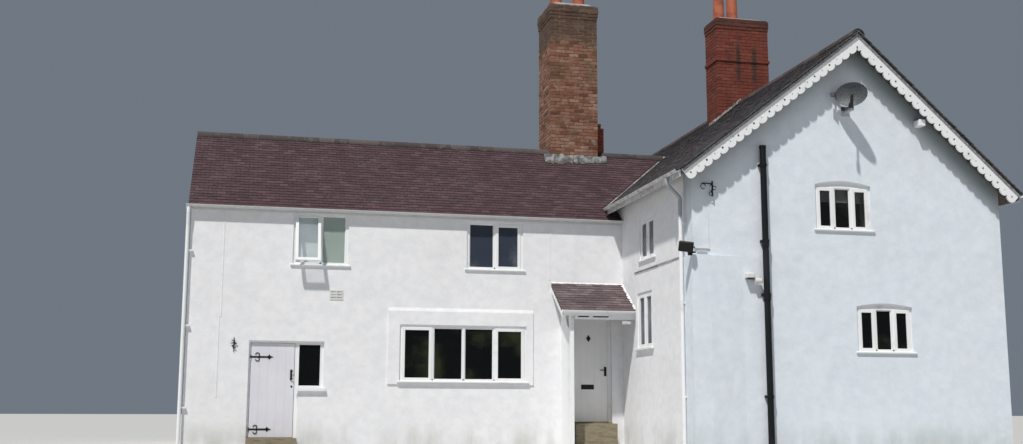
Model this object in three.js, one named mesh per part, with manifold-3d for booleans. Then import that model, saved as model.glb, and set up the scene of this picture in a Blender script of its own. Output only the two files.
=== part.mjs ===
// An L-shaped whitewashed farmhouse: a low main range and a taller wing whose gable stands forward.
// Lengths are millimetres: X along the front, Y back from the front wall, Z up from the lowest ground.
import * as THREE from "three";
import { mergeVertices } from "three/addons/utils/BufferGeometryUtils.js";
import Module from "manifold-3d";

const wasm = await Module();
wasm.setup();

// Clearance between a piece and the one that it rests in or is cut by
const SEAT = 0.3;

// Levels
const FRONT_SILL = 450;
const SIDE_SILL = 170;
const UPPER_FLOOR = 3100;
const SLAB = 150;
const FLOOR_SPLIT_X = 7000;

// Masonry
const WALL = 400;
const RANGE_LENGTH = 8470;
const RANGE_DEPTH = 4540;
const WING_WIDTH = 5980;
const WING_FORWARD = 3850;
const WING_BACK = 6590;
const WING_RIGHT = RANGE_LENGTH + WING_WIDTH;

// Roofs: thickness of the slopes, heights of the tile faces at the ridge lines, rise per unit of run, and overhangs
const ROOF = 110;
const RANGE_ROOF = 80;
const RANGE_APEX = 6355;
const RANGE_PITCH = 0.81;
const RANGE_RIDGE_Y = RANGE_DEPTH / 2;
const RANGE_EAVE = 24;
const RANGE_VERGE = 60;
const WING_APEX = 7415;
const WING_RIDGE_X = 11612;
const LEFT_PITCH = 0.778;
const RIGHT_PITCH = 0.904;
const LEFT_EAVE = 265;
const RIGHT_EAVE = 280;
const WING_VERGE = 220;
const RIDGE_RADIUS = 110;
const RIDGE_SINK = 55;
// A level above every roof and chimney, and a margin outside every wall, for cutting through
const CLEAR_TOP = 11000;
const MARGIN = 600;

// Render: the lower storey of the return wall stands proud below a sloped ledge that wraps the corner
const LEDGE = { from: 930, height: 3350, proud: 45, slope: 35, wrap: 290 };
// A skin that is joined to a wall starts this far inside it
const KEY = 20;

// Eaves gutters
const GUTTER_RADIUS = 46;
const GUTTER_WALL = 6;
const GUTTER_DROP = 14;
const EAVES_BOARD = 20;
const EAVES_BOARD_DEPTH = 120;
const RANGE_BOARD_DEPTH = 80;

// Pipes, with the drops below the gutter of the points that a bend passes through
const DOWNPIPE = { radius: 34, standoff: 62, clip: 30 };
const NECK_DROPS = [2, 110, 230, 350, 430];
const LEFT_PIPE = { x: -50, clips: [700, 2200, 3600] };
const CORNER_PIPE = { fromCorner: 330, standoff: 45, lowClips: [900, 2500], highClip: 3900 };
const SOIL_PIPE = { fromCorner: 1305, standoff: 85, radius: 55, top: 5270 };
const SOIL_CLIPS = [900, 2630, 3560, 4900];
const SOIL_COLLARS = [2560, 3490];

// Bargeboards: the scallops are cut in the lower edge, each with a large or a small hole in turn
const BOARD = 30;
const BOARD_DEPTH = 180;
const SCALLOP_PITCH = 188;
const SCALLOP_DROP = 88;
const SCALLOP_LEAN = 0.03;
const HOLE_RADIUS = 21;
const SMALL_HOLE_RADIUS = 12;
const HOLE_LIFT = 38;
const BOARD_DROP = 15;
const REAR_BOARD_DEPTH = 250;

// Chimneys: left, right, front and back faces of each stack, and its top
const RANGE_STACK = { left: 7515, right: 8590, front: 1990, back: 3070, top: 9750, corbel: 45, courses: 4 };
const WING_STACK = { left: 11050, right: 12270, front: 940, back: 1590, top: 9350, corbel: 30, courses: 3 };
const COURSE = 75;
const CAP_DEPTH = 30;
const WING_BAND = { height: 8350, thickness: 40, proud: 22 };
// Weathered shoulders beside the main stack: how far each stands out, and its top
const SHOULDERS = [[60, 7290], [176, 7100], [240, 6995]];
const SHOULDER_INSET = 330;
const SHOULDER_BASE = 6470;
// Outline of a pot, as parts of its radius and height
const POT_OUTLINE = [
  [1, 0], [0.86, 0.75], [1.06, 0.78], [1.06, 0.88], [0.92, 0.9], [0.92, 1], [0.7, 1], [0.7, 0.3], [0, 0.3],
];
const FLAUNCH_INSET = 20;
const FLAUNCH_SLOPE = 150;
const RANGE_POTS = { offsets: [260, 800], radius: 150, height: 520, bed: 60 };
const WING_POTS = { offsets: [200, 520], radius: 130, height: 820, bed: 30 };

// Doors and their frames
const SIDE_FRAME = { left: 1150, width: 1390, bottom: 160, head: 1960, member: 40, post: 60, depth: 80 };
const SIDE_LEAF = { left: 46, width: 800, setback: 50, thickness: 45 };
const FRONT_FRAME = { left: 7290, width: 940, head: 2510, member: 46 };
const FRONT_LEAF = { setback: 100, thickness: 45 };
const LEAF_GAP = 6;
const LOCK_GAP = 8;
const FLOOR_GAP = 10;
const SIDE_POST_LEFT = SIDE_FRAME.left + SIDE_LEAF.left + SIDE_LEAF.width + LOCK_GAP;
const SIDE_POST_RIGHT = SIDE_POST_LEFT + SIDE_FRAME.post;
const SIDE_RIGHT = SIDE_FRAME.left + SIDE_FRAME.width;
const FRONT_RIGHT = FRONT_FRAME.left + FRONT_FRAME.width;
const SIDE_STEP = 260;
const FRONT_STEP = { depth: 330, drop: 20, inset: 100 };
// The small window beside the side door
const SIDE_LIGHT = { sill: 1050, member: 50, base: 60 };

// Hinges: each is a fixed knuckle with the leaf's knuckle turning above it
const HINGE = { radius: 8, height: 40, plate: 34, offset: 3 };
const SIDE_HINGES = [290, 1600];
const FRONT_HINGES = [700, 2200];

// Porch
const PORCH = { left: 6985, front: 800, wallTop: 3165, pitch: 0.7, thickness: 60 };
const POST = { left: 7165, size: 75, front: 740 };
const PORCH_FASCIA = { thickness: 22, depth: 110, drop: 12 };
const PORCH_RAFTER = { thickness: 28, depth: 90 };
const PORCH_PLATE = 100;
const PORCH_RAIL = 90;
// The boarded screen that closes the porch's left side, and the sweep of its top up to the roof
const SCREEN = { inset: 10, thickness: 28, low: 2250, sweep: 380 };

// Windows: frame section, glazing bar, how deep it is set in the wall, and its sill
const WINDOW = { member: 55, bar: 45, setback: 60, depth: 70 };
const PANE = { thickness: 12, rebate: 5 };
const SILL = { reach: 50, horn: 45, above: 35, below: 20 };
// The top-hung sash that stands open
const SASH = { lap: 15, swing: 0.3, member: 60, back: -5, front: 35 };
const GLASS_SHEET = { thickness: 12, lap: 60 };

// The dish on the gable: its middle, and how it is turned
const DISH = { u: 2975, height: 6242, standoff: 266, rim: 290, bowl: 75, skin: 12, squash: 0.75, arm: 322 };
const DISH_TILT = 0.04;
const DISH_TURN = -0.75;

const finishes = {
  render: new THREE.MeshStandardMaterial({ color: 0xe2e2e0, roughness: 0.9, metalness: 0 }),
  floor: new THREE.MeshStandardMaterial({ color: 0x8a857c, roughness: 0.85, metalness: 0 }),
  rangeTile: new THREE.MeshStandardMaterial({ color: 0x55444a, roughness: 0.85, metalness: 0 }),
  wingTile: new THREE.MeshStandardMaterial({ color: 0x484644, roughness: 0.85, metalness: 0 }),
  ridgeTile: new THREE.MeshStandardMaterial({ color: 0x6a5a58, roughness: 0.85, metalness: 0 }),
  paintedWood: new THREE.MeshStandardMaterial({ color: 0xe8e8e6, roughness: 0.45, metalness: 0 }),
  gutter: new THREE.MeshStandardMaterial({ color: 0xdedcd6, roughness: 0.5, metalness: 0 }),
  weatheredBrick: new THREE.MeshStandardMaterial({ color: 0x7d4a36, roughness: 0.92, metalness: 0 }),
  redBrick: new THREE.MeshStandardMaterial({ color: 0x8c3220, roughness: 0.9, metalness: 0 }),
  pot: new THREE.MeshStandardMaterial({ color: 0xa4472c, roughness: 0.8, metalness: 0 }),
  iron: new THREE.MeshStandardMaterial({ color: 0x16181a, roughness: 0.5, metalness: 0.6 }),
  stone: new THREE.MeshStandardMaterial({ color: 0xb0a288, roughness: 0.9, metalness: 0 }),
  glass: new THREE.MeshStandardMaterial({ color: 0x20272a, roughness: 0.1, metalness: 0 }),
};

// Closed solids for joining and cutting

function solidOf(geometry) {
  const bare = geometry.clone();
  bare.deleteAttribute("normal");
  bare.deleteAttribute("uv");
  const merged = mergeVertices(bare, 1e-3);
  const triVerts = new Uint32Array(merged.index.array);
  const vertProperties = new Float32Array(merged.attributes.position.array);
  return new wasm.Manifold(new wasm.Mesh({ numProp: 3, vertProperties, triVerts }));
}

function geometryOf(solid) {
  const { vertProperties, triVerts } = solid.getMesh();
  const geometry = new THREE.BufferGeometry();
  geometry.setAttribute("position", new THREE.BufferAttribute(new Float32Array(vertProperties), 3));
  geometry.setIndex(new THREE.BufferAttribute(new Uint32Array(triVerts), 1));
  const faceted = geometry.toNonIndexed();
  faceted.computeVertexNormals();
  return faceted;
}

function join(...geometries) {
  return geometryOf(geometries.map(solidOf).reduce((whole, next) => whole.add(next)));
}

function cut(geometry, ...tools) {
  return geometryOf(tools.map(solidOf).reduce((whole, next) => whole.subtract(next), solidOf(geometry)));
}

// Shapes

function box(x0, x1, y0, y1, z0, z1) {
  const block = new THREE.BoxGeometry(x1 - x0, y1 - y0, z1 - z0);
  return block.translate((x0 + x1) / 2, (y0 + y1) / 2, (z0 + z1) / 2);
}

function outline(points) {
  return new THREE.Shape(points.map(([u, v]) => new THREE.Vector2(u, v)));
}

function extrude(shape, depth, curveSegments = 8) {
  return new THREE.ExtrudeGeometry(shape, { depth, bevelEnabled: false, curveSegments });
}

// A prism whose outline lies in Y and Z, from x0 to x1
function alongX(points, x0, x1) {
  const turn = new THREE.Matrix4().set(0, 0, 1, x0, 1, 0, 0, 0, 0, 1, 0, 0, 0, 0, 0, 1);
  return extrude(outline(points), x1 - x0).applyMatrix4(turn);
}

// A prism whose outline lies in X and Z, from y0 to y1
function alongY(points, y0, y1) {
  const turn = new THREE.Matrix4().set(1, 0, 0, 0, 0, 0, -1, y1, 0, 1, 0, 0, 0, 0, 0, 1);
  return extrude(outline(points), y1 - y0).applyMatrix4(turn);
}

// A prism whose outline lies in X and Y, from z0 to z1
function alongZ(points, z0, z1) {
  return extrude(outline(points), z1 - z0).translate(0, 0, z0);
}

// Scene graph

const house = new THREE.Group();
const model = new THREE.Group();
house.add(model);

function piece(name, geometry, finish, parent = model) {
  const mesh = new THREE.Mesh(geometry, finishes[finish].clone());
  mesh.name = name;
  parent.add(mesh);
  return mesh;
}

// A group on the face of a wall: its x runs right and its z runs out, as seen from outside
function elevation(x, y, turn) {
  const group = new THREE.Group();
  group.position.set(x, y, 0);
  group.rotation.set(Math.PI / 2, 0, turn, "ZYX");
  model.add(group);
  return group;
}

const frontFace = elevation(0, 0, 0);
const rearFace = elevation(RANGE_LENGTH, RANGE_DEPTH, Math.PI);
const returnFace = elevation(RANGE_LENGTH, 0, -Math.PI / 2);
const gableFace = elevation(RANGE_LENGTH, -WING_FORWARD, 0);
const rightFace = elevation(WING_RIGHT, -WING_FORWARD + WALL, Math.PI / 2);
const rearGableFace = elevation(WING_RIGHT, WING_BACK, Math.PI);

// Roof faces

function rangeTop(y) {
  return RANGE_APEX - Math.abs(y - RANGE_RIDGE_Y) * RANGE_PITCH;
}

function wingTop(x) {
  const pitch = x < WING_RIDGE_X ? LEFT_PITCH : RIGHT_PITCH;
  return WING_APEX - Math.abs(x - WING_RIDGE_X) * pitch;
}

// Where the two roofs meet, for a height: the valley's place in plan
function valleyX(y) {
  return WING_RIDGE_X - (WING_APEX - rangeTop(y)) / LEFT_PITCH;
}

// The plan of the ground that the main range's roof covers up to the valleys, moved left by a clearance
function rangePlan(clearance) {
  return [
    [-MARGIN, -MARGIN],
    [valleyX(-MARGIN) - clearance, -MARGIN],
    [valleyX(RANGE_RIDGE_Y) - clearance, RANGE_RIDGE_Y],
    [valleyX(RANGE_DEPTH + MARGIN) - clearance, RANGE_DEPTH + MARGIN],
    [-MARGIN, RANGE_DEPTH + MARGIN],
  ];
}

// Walls

// Window openings: left edge, width, bottom and height on their wall, and the rise of an arched head
const WINDOWS = {
  upperLeft: { left: 1900, width: 1050, bottom: 3410, height: 1010, rise: 0 },
  upperRight: { left: 5270, width: 1135, bottom: 3415, height: 965, rise: 0 },
  lower: { left: 3970, width: 2505, bottom: 1220, height: 1090, rise: 0 },
  returnUpper: { left: 1100, width: 850, bottom: 3530, height: 810, rise: 0 },
  returnLower: { left: 1040, width: 850, bottom: 1850, height: 1060, rise: 0 },
  gableUpper: { left: 2320, width: 1080, bottom: 3840, height: 810, rise: 75 },
  gableLower: { left: 3030, width: 1080, bottom: 1700, height: 800, rise: 60 },
};
// The raised render round the long lower window
const SURROUND = { left: 3745, right: 6610, bottom: 1170, top: 2570, proud: 22 };
const REAR_WINDOWS = { lefts: [1300, 5300], width: 1100, lower: 1250, upper: 3440, height: 960 };
const RIGHT_WINDOWS = { lefts: [1500, 6600], width: 1080, lower: 1450, upper: 3600, height: 960 };
const REAR_GABLE_WINDOW = { left: 2450, width: 1080, bottom: 3840, height: 860, rise: 0 };

function opening({ left, width, bottom, height, rise }, grow = 0) {
  const path = new THREE.Shape();
  const right = left + width;
  const head = bottom + height + grow;
  path.moveTo(left - grow, bottom - grow);
  path.lineTo(right + grow, bottom - grow);
  path.lineTo(right + grow, head);
  if (rise > 0) {
    const half = width / 2 + grow;
    const radius = (half * half + rise * rise) / (2 * rise);
    const spread = Math.asin(half / radius);
    const middle = left + width / 2;
    const steps = 8;
    for (let i = 1; i < steps; i += 1) {
      const angle = spread - (2 * spread * i) / steps;
      path.lineTo(middle + radius * Math.sin(angle), head + rise - radius + radius * Math.cos(angle));
    }
  }
  path.lineTo(left - grow, head);
  path.closePath();
  return path;
}

// A wall made from its outline, with window openings cut through, outer face on the group's plane
function wall(points, openings, thickness = WALL, proud = 0) {
  const block = extrude(outline(points), thickness + proud).translate(0, 0, -thickness);
  const holes = openings.map((hole) => extrude(opening(hole), 2 * WALL).translate(0, 0, -1.5 * WALL));
  return holes.length ? cut(block, ...holes) : block;
}

function rectangle(u0, u1, v0, v1) {
  return [[u0, v0], [u1, v0], [u1, v1], [u0, v1]];
}

function pairs({ lefts, width, lower, upper, height }) {
  return lefts.flatMap((left) => [lower, upper].map((bottom) => ({ left, width, bottom, height, rise: 0 })));
}

const RANGE_WALL_TOP = Math.floor(rangeTop(0) - RANGE_ROOF) - SEAT;
const LEFT_WALL_TOP = Math.floor(wingTop(RANGE_LENGTH) - ROOF) - SEAT;
const RIGHT_WALL_TOP = Math.floor(wingTop(WING_RIGHT) - ROOF) - SEAT;

function frontWalls() {
  const storey = UPPER_FLOOR - SLAB;
  const plain = (name, left, right, bottom) =>
    piece(name, wall(rectangle(left, right, bottom, storey), []), "render", frontFace);
  plain("front_wall_left", 0, SIDE_FRAME.left, 0);
  plain("front_wall_right", FRONT_RIGHT, RANGE_LENGTH, 0);
  plain("wall_over_side_door", SIDE_FRAME.left, SIDE_RIGHT, SIDE_FRAME.head);
  plain("wall_over_front_door", FRONT_FRAME.left, FRONT_RIGHT, FRONT_FRAME.head);
  const middle = [
    [SIDE_POST_RIGHT, 0], [FRONT_FRAME.left, 0], [FRONT_FRAME.left, storey],
    [SIDE_RIGHT, storey], [SIDE_RIGHT, SIDE_LIGHT.sill], [SIDE_POST_RIGHT, SIDE_LIGHT.sill],
  ];
  const band = rectangle(SURROUND.left, SURROUND.right, SURROUND.bottom, SURROUND.top);
  const raised = wall(band, [WINDOWS.lower], KEY, SURROUND.proud);
  piece("front_wall_middle", join(wall(middle, [WINDOWS.lower]), raised), "render", frontFace);
  const upper = rectangle(0, RANGE_LENGTH, storey, RANGE_WALL_TOP);
  piece("front_wall_upper", wall(upper, [WINDOWS.upperLeft, WINDOWS.upperRight]), "render", frontFace);
}

function partyWall() {
  const back = RANGE_DEPTH - WALL;
  const under = RANGE_ROOF + SEAT * 2;
  const profile = [
    [WALL, 0], [back, 0], [back, rangeTop(back) - under],
    [RANGE_RIDGE_Y, RANGE_APEX - under], [WALL, rangeTop(WALL) - under],
  ];
  piece("party_wall", alongX(profile, 0, WALL), "render");
}

function rearWall() {
  const rear = wall(rectangle(0, RANGE_LENGTH, 0, RANGE_WALL_TOP), pairs(REAR_WINDOWS));
  piece("rear_wall", rear, "render", rearFace);
}

function returnWall() {
  const { from, height, proud, slope } = LEDGE;
  const end = WING_FORWARD - WALL;
  const openings = [WINDOWS.returnUpper, WINDOWS.returnLower];
  const plain = wall(rectangle(-WALL, end, 0, LEFT_WALL_TOP), openings);
  const lower = wall(rectangle(from, end, 0, height - slope), [WINDOWS.returnLower], KEY, proud);
  const section = outline([[-KEY, 0], [proud, 0], [0, slope], [-KEY, slope]]);
  const weathering = extrude(section, end - from).rotateY(-Math.PI / 2).translate(end, height - slope, 0);
  piece("return_wall", join(plain, lower, weathering), "render", returnFace);
}

function gableOutline(toWorldX, width) {
  const under = ROOF + SEAT * 2;
  const apexU = Math.abs(WING_RIDGE_X - toWorldX);
  const leftTop = wingTop(toWorldX) - under;
  const rightX = toWorldX === RANGE_LENGTH ? WING_RIGHT : RANGE_LENGTH;
  return [[0, 0], [width, 0], [width, wingTop(rightX) - under], [apexU, WING_APEX - under], [0, leftTop]];
}

function gableWalls() {
  const { height, proud, slope, wrap } = LEDGE;
  const front = wall(gableOutline(RANGE_LENGTH, WING_WIDTH), [WINDOWS.gableUpper, WINDOWS.gableLower]);
  const corner = box(-proud, wrap, 0, height - slope, -WALL, proud);
  piece("gable_wall", join(front, corner), "render", gableFace);
  const rear = wall(gableOutline(WING_RIGHT, WING_WIDTH), [REAR_GABLE_WINDOW]);
  piece("rear_gable_wall", rear, "render", rearGableFace);
}

function wingSideWalls() {
  const run = WING_FORWARD + WING_BACK - 2 * WALL;
  const right = wall(rectangle(0, run, 0, RIGHT_WALL_TOP), pairs(RIGHT_WINDOWS));
  piece("wing_right_wall", right, "render", rightFace);
  const left = box(RANGE_LENGTH, RANGE_LENGTH + WALL, RANGE_DEPTH - WALL, WING_BACK - WALL, 0, LEFT_WALL_TOP);
  piece("wing_rear_left_wall", left, "render");
}

// Floors

function floors() {
  const inner = RANGE_LENGTH + WALL;
  const back = RANGE_DEPTH - WALL;
  const kitchen = box(WALL, FLOOR_SPLIT_X, WALL, back, SIDE_SILL - SLAB, SIDE_SILL);
  piece("kitchen_floor", kitchen, "floor");
  const wingInside = [
    [inner, -WING_FORWARD + WALL], [WING_RIGHT - WALL, -WING_FORWARD + WALL],
    [WING_RIGHT - WALL, WING_BACK - WALL], [inner, WING_BACK - WALL], [inner, back],
  ];
  const hall = [...wingInside, [FLOOR_SPLIT_X, back], [FLOOR_SPLIT_X, WALL], [inner, WALL]];
  piece("hall_floor", alongZ(hall, FRONT_SILL - SLAB, FRONT_SILL), "floor");
  const upper = [...wingInside, [WALL, back], [WALL, WALL], [inner, WALL]];
  const floor = alongZ(upper, UPPER_FLOOR - SLAB, UPPER_FLOOR);
  piece("upper_floor", cut(floor, stackHole(RANGE_STACK), stackHole(WING_STACK)), "floor");
}

// Roof slopes

function stackHole({ left, right, front, back }) {
  return box(left - SEAT, right + SEAT, front - SEAT, back + SEAT, FRONT_SILL, CLEAR_TOP);
}

// What the wing's roof takes away from the main range's roof
function wingCutters() {
  const left = RANGE_LENGTH - LEFT_EAVE - SEAT * 2;
  const back = RANGE_DEPTH + MARGIN;
  const valleys = rangePlan(SEAT).slice(1, 4);
  const plan = alongZ([...valleys, [WING_RIGHT, back], [WING_RIGHT, -MARGIN]], 0, CLEAR_TOP);
  const under = ROOF + SEAT * 2;
  const slope = [[left, wingTop(left) - under], [WING_RIDGE_X, WING_APEX - under]];
  const above = alongY([...slope, [WING_RIDGE_X, CLEAR_TOP], [left, CLEAR_TOP]], -MARGIN, back);
  const inside = box(RANGE_LENGTH - SEAT, WING_RIGHT, -MARGIN, back, 0, CLEAR_TOP);
  return geometryOf(solidOf(plan).intersect(solidOf(join(above, inside))));
}

function rangeRoof() {
  const right = valleyX(RANGE_RIDGE_Y) + 50;
  const cutter = wingCutters();
  const slope = (eaveY, ridgeY) => alongX(
    [[eaveY, rangeTop(eaveY) - RANGE_ROOF], [ridgeY, rangeTop(ridgeY) - RANGE_ROOF],
      [ridgeY, rangeTop(ridgeY)], [eaveY, rangeTop(eaveY)]],
    -RANGE_VERGE, right,
  );
  const front = slope(-RANGE_EAVE, RANGE_RIDGE_Y - SEAT);
  piece("main_roof_front", cut(front, cutter, stackHole(RANGE_STACK)), "rangeTile");
  const rear = slope(RANGE_DEPTH + RANGE_EAVE, RANGE_RIDGE_Y + SEAT);
  piece("main_roof_rear", cut(rear, cutter, stackHole(RANGE_STACK)), "rangeTile");
}

function wingRoof() {
  const from = -WING_FORWARD - WING_VERGE;
  const to = WING_BACK + WING_VERGE;
  const slope = (eaveX, ridgeX) => alongY(
    [[eaveX, wingTop(eaveX) - ROOF], [ridgeX, wingTop(ridgeX) - ROOF], [ridgeX, wingTop(ridgeX)],
      [eaveX, wingTop(eaveX)]],
    from, to,
  );
  const left = slope(RANGE_LENGTH - LEFT_EAVE, WING_RIDGE_X - SEAT);
  const covered = alongZ(rangePlan(0), 0, CLEAR_TOP);
  const right = slope(WING_RIGHT + RIGHT_EAVE, WING_RIDGE_X + SEAT);
  piece("wing_roof_left", cut(left, covered, stackHole(WING_STACK)), "wingTile");
  piece("wing_roof_right", cut(right, stackHole(WING_STACK)), "wingTile");
}

// Half-round ridge tiles bedded on the two slopes
function ridgeProfile(centre, apex, leftPitch, rightPitch) {
  const steps = 8;
  const points = [];
  for (let i = 0; i <= steps; i += 1) {
    const angle = (Math.PI * i) / steps;
    points.push([
      centre + RIDGE_RADIUS * Math.cos(angle), apex - RIDGE_SINK + RIDGE_RADIUS * Math.sin(angle),
    ]);
  }
  points[0][1] = apex - RIDGE_RADIUS * rightPitch + 2 * SEAT;
  points[steps][1] = apex - RIDGE_RADIUS * leftPitch + 2 * SEAT;
  return [...points, [centre, apex + 2 * SEAT]];
}

function ridges() {
  const range = ridgeProfile(RANGE_RIDGE_Y, RANGE_APEX, RANGE_PITCH, RANGE_PITCH);
  const wing = ridgeProfile(WING_RIDGE_X, WING_APEX, LEFT_PITCH, RIGHT_PITCH);
  const { left, right } = RANGE_STACK;
  piece("main_ridge_left", alongX(range, -RANGE_VERGE, left - SEAT), "ridgeTile");
  const lift = SEAT * 2;
  const wingSlope = alongY([
    [right, wingTop(right) + lift], [WING_RIDGE_X, WING_APEX + lift], [WING_RIDGE_X, 0], [right, 0],
  ], 0, RANGE_DEPTH);
  const long = alongX(range, right + SEAT, valleyX(RANGE_RIDGE_Y) + MARGIN);
  piece("main_ridge_right", cut(long, wingSlope), "ridgeTile");
  const { front, back } = WING_STACK;
  piece("wing_ridge_front", alongY(wing, -WING_FORWARD - WING_VERGE - BOARD, front - SEAT), "ridgeTile");
  piece("wing_ridge_rear", alongY(wing, back + SEAT, WING_BACK + WING_VERGE + BOARD), "ridgeTile");
}

// Bargeboards

// Lower edge of scallops, worked along the board from the apex down; side is -1 for the left board
function scallopedBoard(length, side) {
  const shape = new THREE.Shape();
  const count = Math.floor(length / SCALLOP_PITCH);
  const start = length - count * SCALLOP_PITCH;
  const low = -BOARD_DEPTH - SCALLOP_DROP;
  shape.moveTo(0, 0);
  shape.lineTo(0, -BOARD_DEPTH);
  shape.lineTo(side * start, -BOARD_DEPTH);
  for (let i = 0; i < count; i += 1) {
    const at = (part) => side * (start + (i + part) * SCALLOP_PITCH);
    shape.bezierCurveTo(at(SCALLOP_LEAN), low, at(1 - SCALLOP_LEAN), low, at(1), -BOARD_DEPTH);
  }
  shape.lineTo(side * length, 0);
  shape.closePath();
  for (let i = 2; i < count; i += 1) {
    const hole = new THREE.Path();
    const middle = side * (start + (i + 0.5) * SCALLOP_PITCH);
    const radius = (count - i) % 2 ? HOLE_RADIUS : SMALL_HOLE_RADIUS;
    hole.absarc(middle, HOLE_LIFT - BOARD_DEPTH, radius, 0, Math.PI * 2, side > 0);
    shape.holes.push(hole);
  }
  return shape;
}

function bargeboards() {
  const y = -WING_FORWARD - WING_VERGE - SEAT;
  const left = RANGE_LENGTH - LEFT_EAVE;
  const right = WING_RIGHT + RIGHT_EAVE;
  const sides = [
    ["bargeboard_left", -1, LEFT_PITCH, WING_RIDGE_X - left],
    ["bargeboard_right", 1, RIGHT_PITCH, right - WING_RIDGE_X],
  ];
  for (const [name, side, pitch, run] of sides) {
    const slope = Math.atan(pitch);
    const board = extrude(scallopedBoard(run / Math.cos(slope), side), BOARD, 5).rotateZ(-side * slope);
    board.rotateX(Math.PI / 2).translate(WING_RIDGE_X, y, WING_APEX - BOARD_DROP);
    // Both boards are cut plumb where they meet under the ridge
    const meet = WING_RIDGE_X + side * SEAT;
    const beyond = WING_RIDGE_X - side * MARGIN;
    const past = box(Math.min(meet, beyond), Math.max(meet, beyond), y - MARGIN, y + MARGIN, 0, CLEAR_TOP);
    piece(name, cut(board, past), "paintedWood");
  }
  const rearY = WING_BACK + WING_VERGE + SEAT;
  const edge = [[left, wingTop(left)], [WING_RIDGE_X, WING_APEX], [right, wingTop(right)]];
  const lower = edge.map(([x, z]) => [x, z - BOARD_DROP - REAR_BOARD_DEPTH]);
  const upper = edge.map(([x, z]) => [x, z - BOARD_DROP]).reverse();
  piece("rear_bargeboards", alongY([...lower, ...upper], rearY, rearY + BOARD), "paintedWood");
}

// Eaves boards with their half-round gutters

// Section with the board at the right of the gutter; u runs out from the roof's edge to the left
function gutterSection(top, boardDepth = EAVES_BOARD_DEPTH) {
  const centre = -EAVES_BOARD - GUTTER_RADIUS + 1;
  const steps = 8;
  const outer = [];
  const inner = [];
  for (let i = 0; i <= steps; i += 1) {
    const angle = Math.PI + (Math.PI * i) / steps;
    outer.push([centre + GUTTER_RADIUS * Math.cos(angle), top + GUTTER_RADIUS * Math.sin(angle)]);
    const radius = GUTTER_RADIUS - GUTTER_WALL;
    inner.push([centre + radius * Math.cos(angle), top + radius * Math.sin(angle)]);
  }
  const board = [
    [-EAVES_BOARD, top - boardDepth], [0, top - boardDepth], [0, top], [-EAVES_BOARD, top],
  ];
  return { board, bowl: [...outer, ...inner.reverse()] };
}

// The height of a gutter's rim under a roof's edge
function rimBelow(height) {
  return Math.floor(height) - GUTTER_DROP;
}

function gutters() {
  const make = (name, { board, bowl }, prism) => piece(name, join(prism(board), prism(bowl)), "gutter");
  const flip = (points) => points.map(([u, v]) => [-u, v]).reverse();
  const move = (points, by) => points.map(([u, v]) => [u + by, v]);
  const rangeSection = gutterSection(rimBelow(rangeTop(-RANGE_EAVE)), RANGE_BOARD_DEPTH);
  const rangeStart = LEFT_PIPE.x * 2;
  const rangeEnd = RANGE_LENGTH - SEAT;
  const rearY = RANGE_DEPTH + RANGE_EAVE + SEAT;
  const frontY = -RANGE_EAVE - SEAT;
  make("main_gutter_front", rangeSection, (points) => alongX(move(points, frontY), rangeStart, rangeEnd));
  make("main_gutter_rear", rangeSection, (points) => alongX(move(flip(points), rearY), rangeStart, rangeEnd));

  const start = -WING_FORWARD - WING_VERGE + 20;
  const leftX = RANGE_LENGTH - LEFT_EAVE - SEAT;
  const leftSection = gutterSection(rimBelow(wingTop(leftX)));
  make("wing_gutter_left", leftSection, (points) => alongY(move(points, leftX), start, -RANGE_EAVE + 60));
  const rightX = WING_RIGHT + RIGHT_EAVE + SEAT;
  const rightSection = gutterSection(rimBelow(wingTop(rightX)));
  const end = WING_BACK + WING_VERGE - 20;
  make("wing_gutter_right", rightSection, (points) => alongY(move(flip(points), rightX), start, end));
}

// Pipes

function upright(x, y, z0, z1, radius, sides = 12) {
  return new THREE.CylinderGeometry(radius, radius, z1 - z0, sides).rotateX(Math.PI / 2)
    .translate(x, y, (z0 + z1) / 2);
}

// The bend that carries a gutter's outlet to the head of the pipe below it
function swanNeck(outlet, pipe, rim, radius) {
  const middle = [(outlet[0] + pipe[0]) / 2, (outlet[1] + pipe[1]) / 2];
  const points = [outlet, outlet, middle, pipe, pipe]
    .map(([x, y], index) => new THREE.Vector3(x, y, rim - NECK_DROPS[index]));
  const extrudePath = new THREE.CatmullRomCurve3(points, false, "catmullrom", 0.2);
  const sides = 10;
  const ring = [];
  for (let i = 0; i < sides; i += 1) {
    const angle = (2 * Math.PI * i) / sides;
    ring.push([radius * Math.cos(angle), radius * Math.sin(angle)]);
  }
  return new THREE.ExtrudeGeometry(outline(ring), { steps: 16, extrudePath });
}

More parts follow.
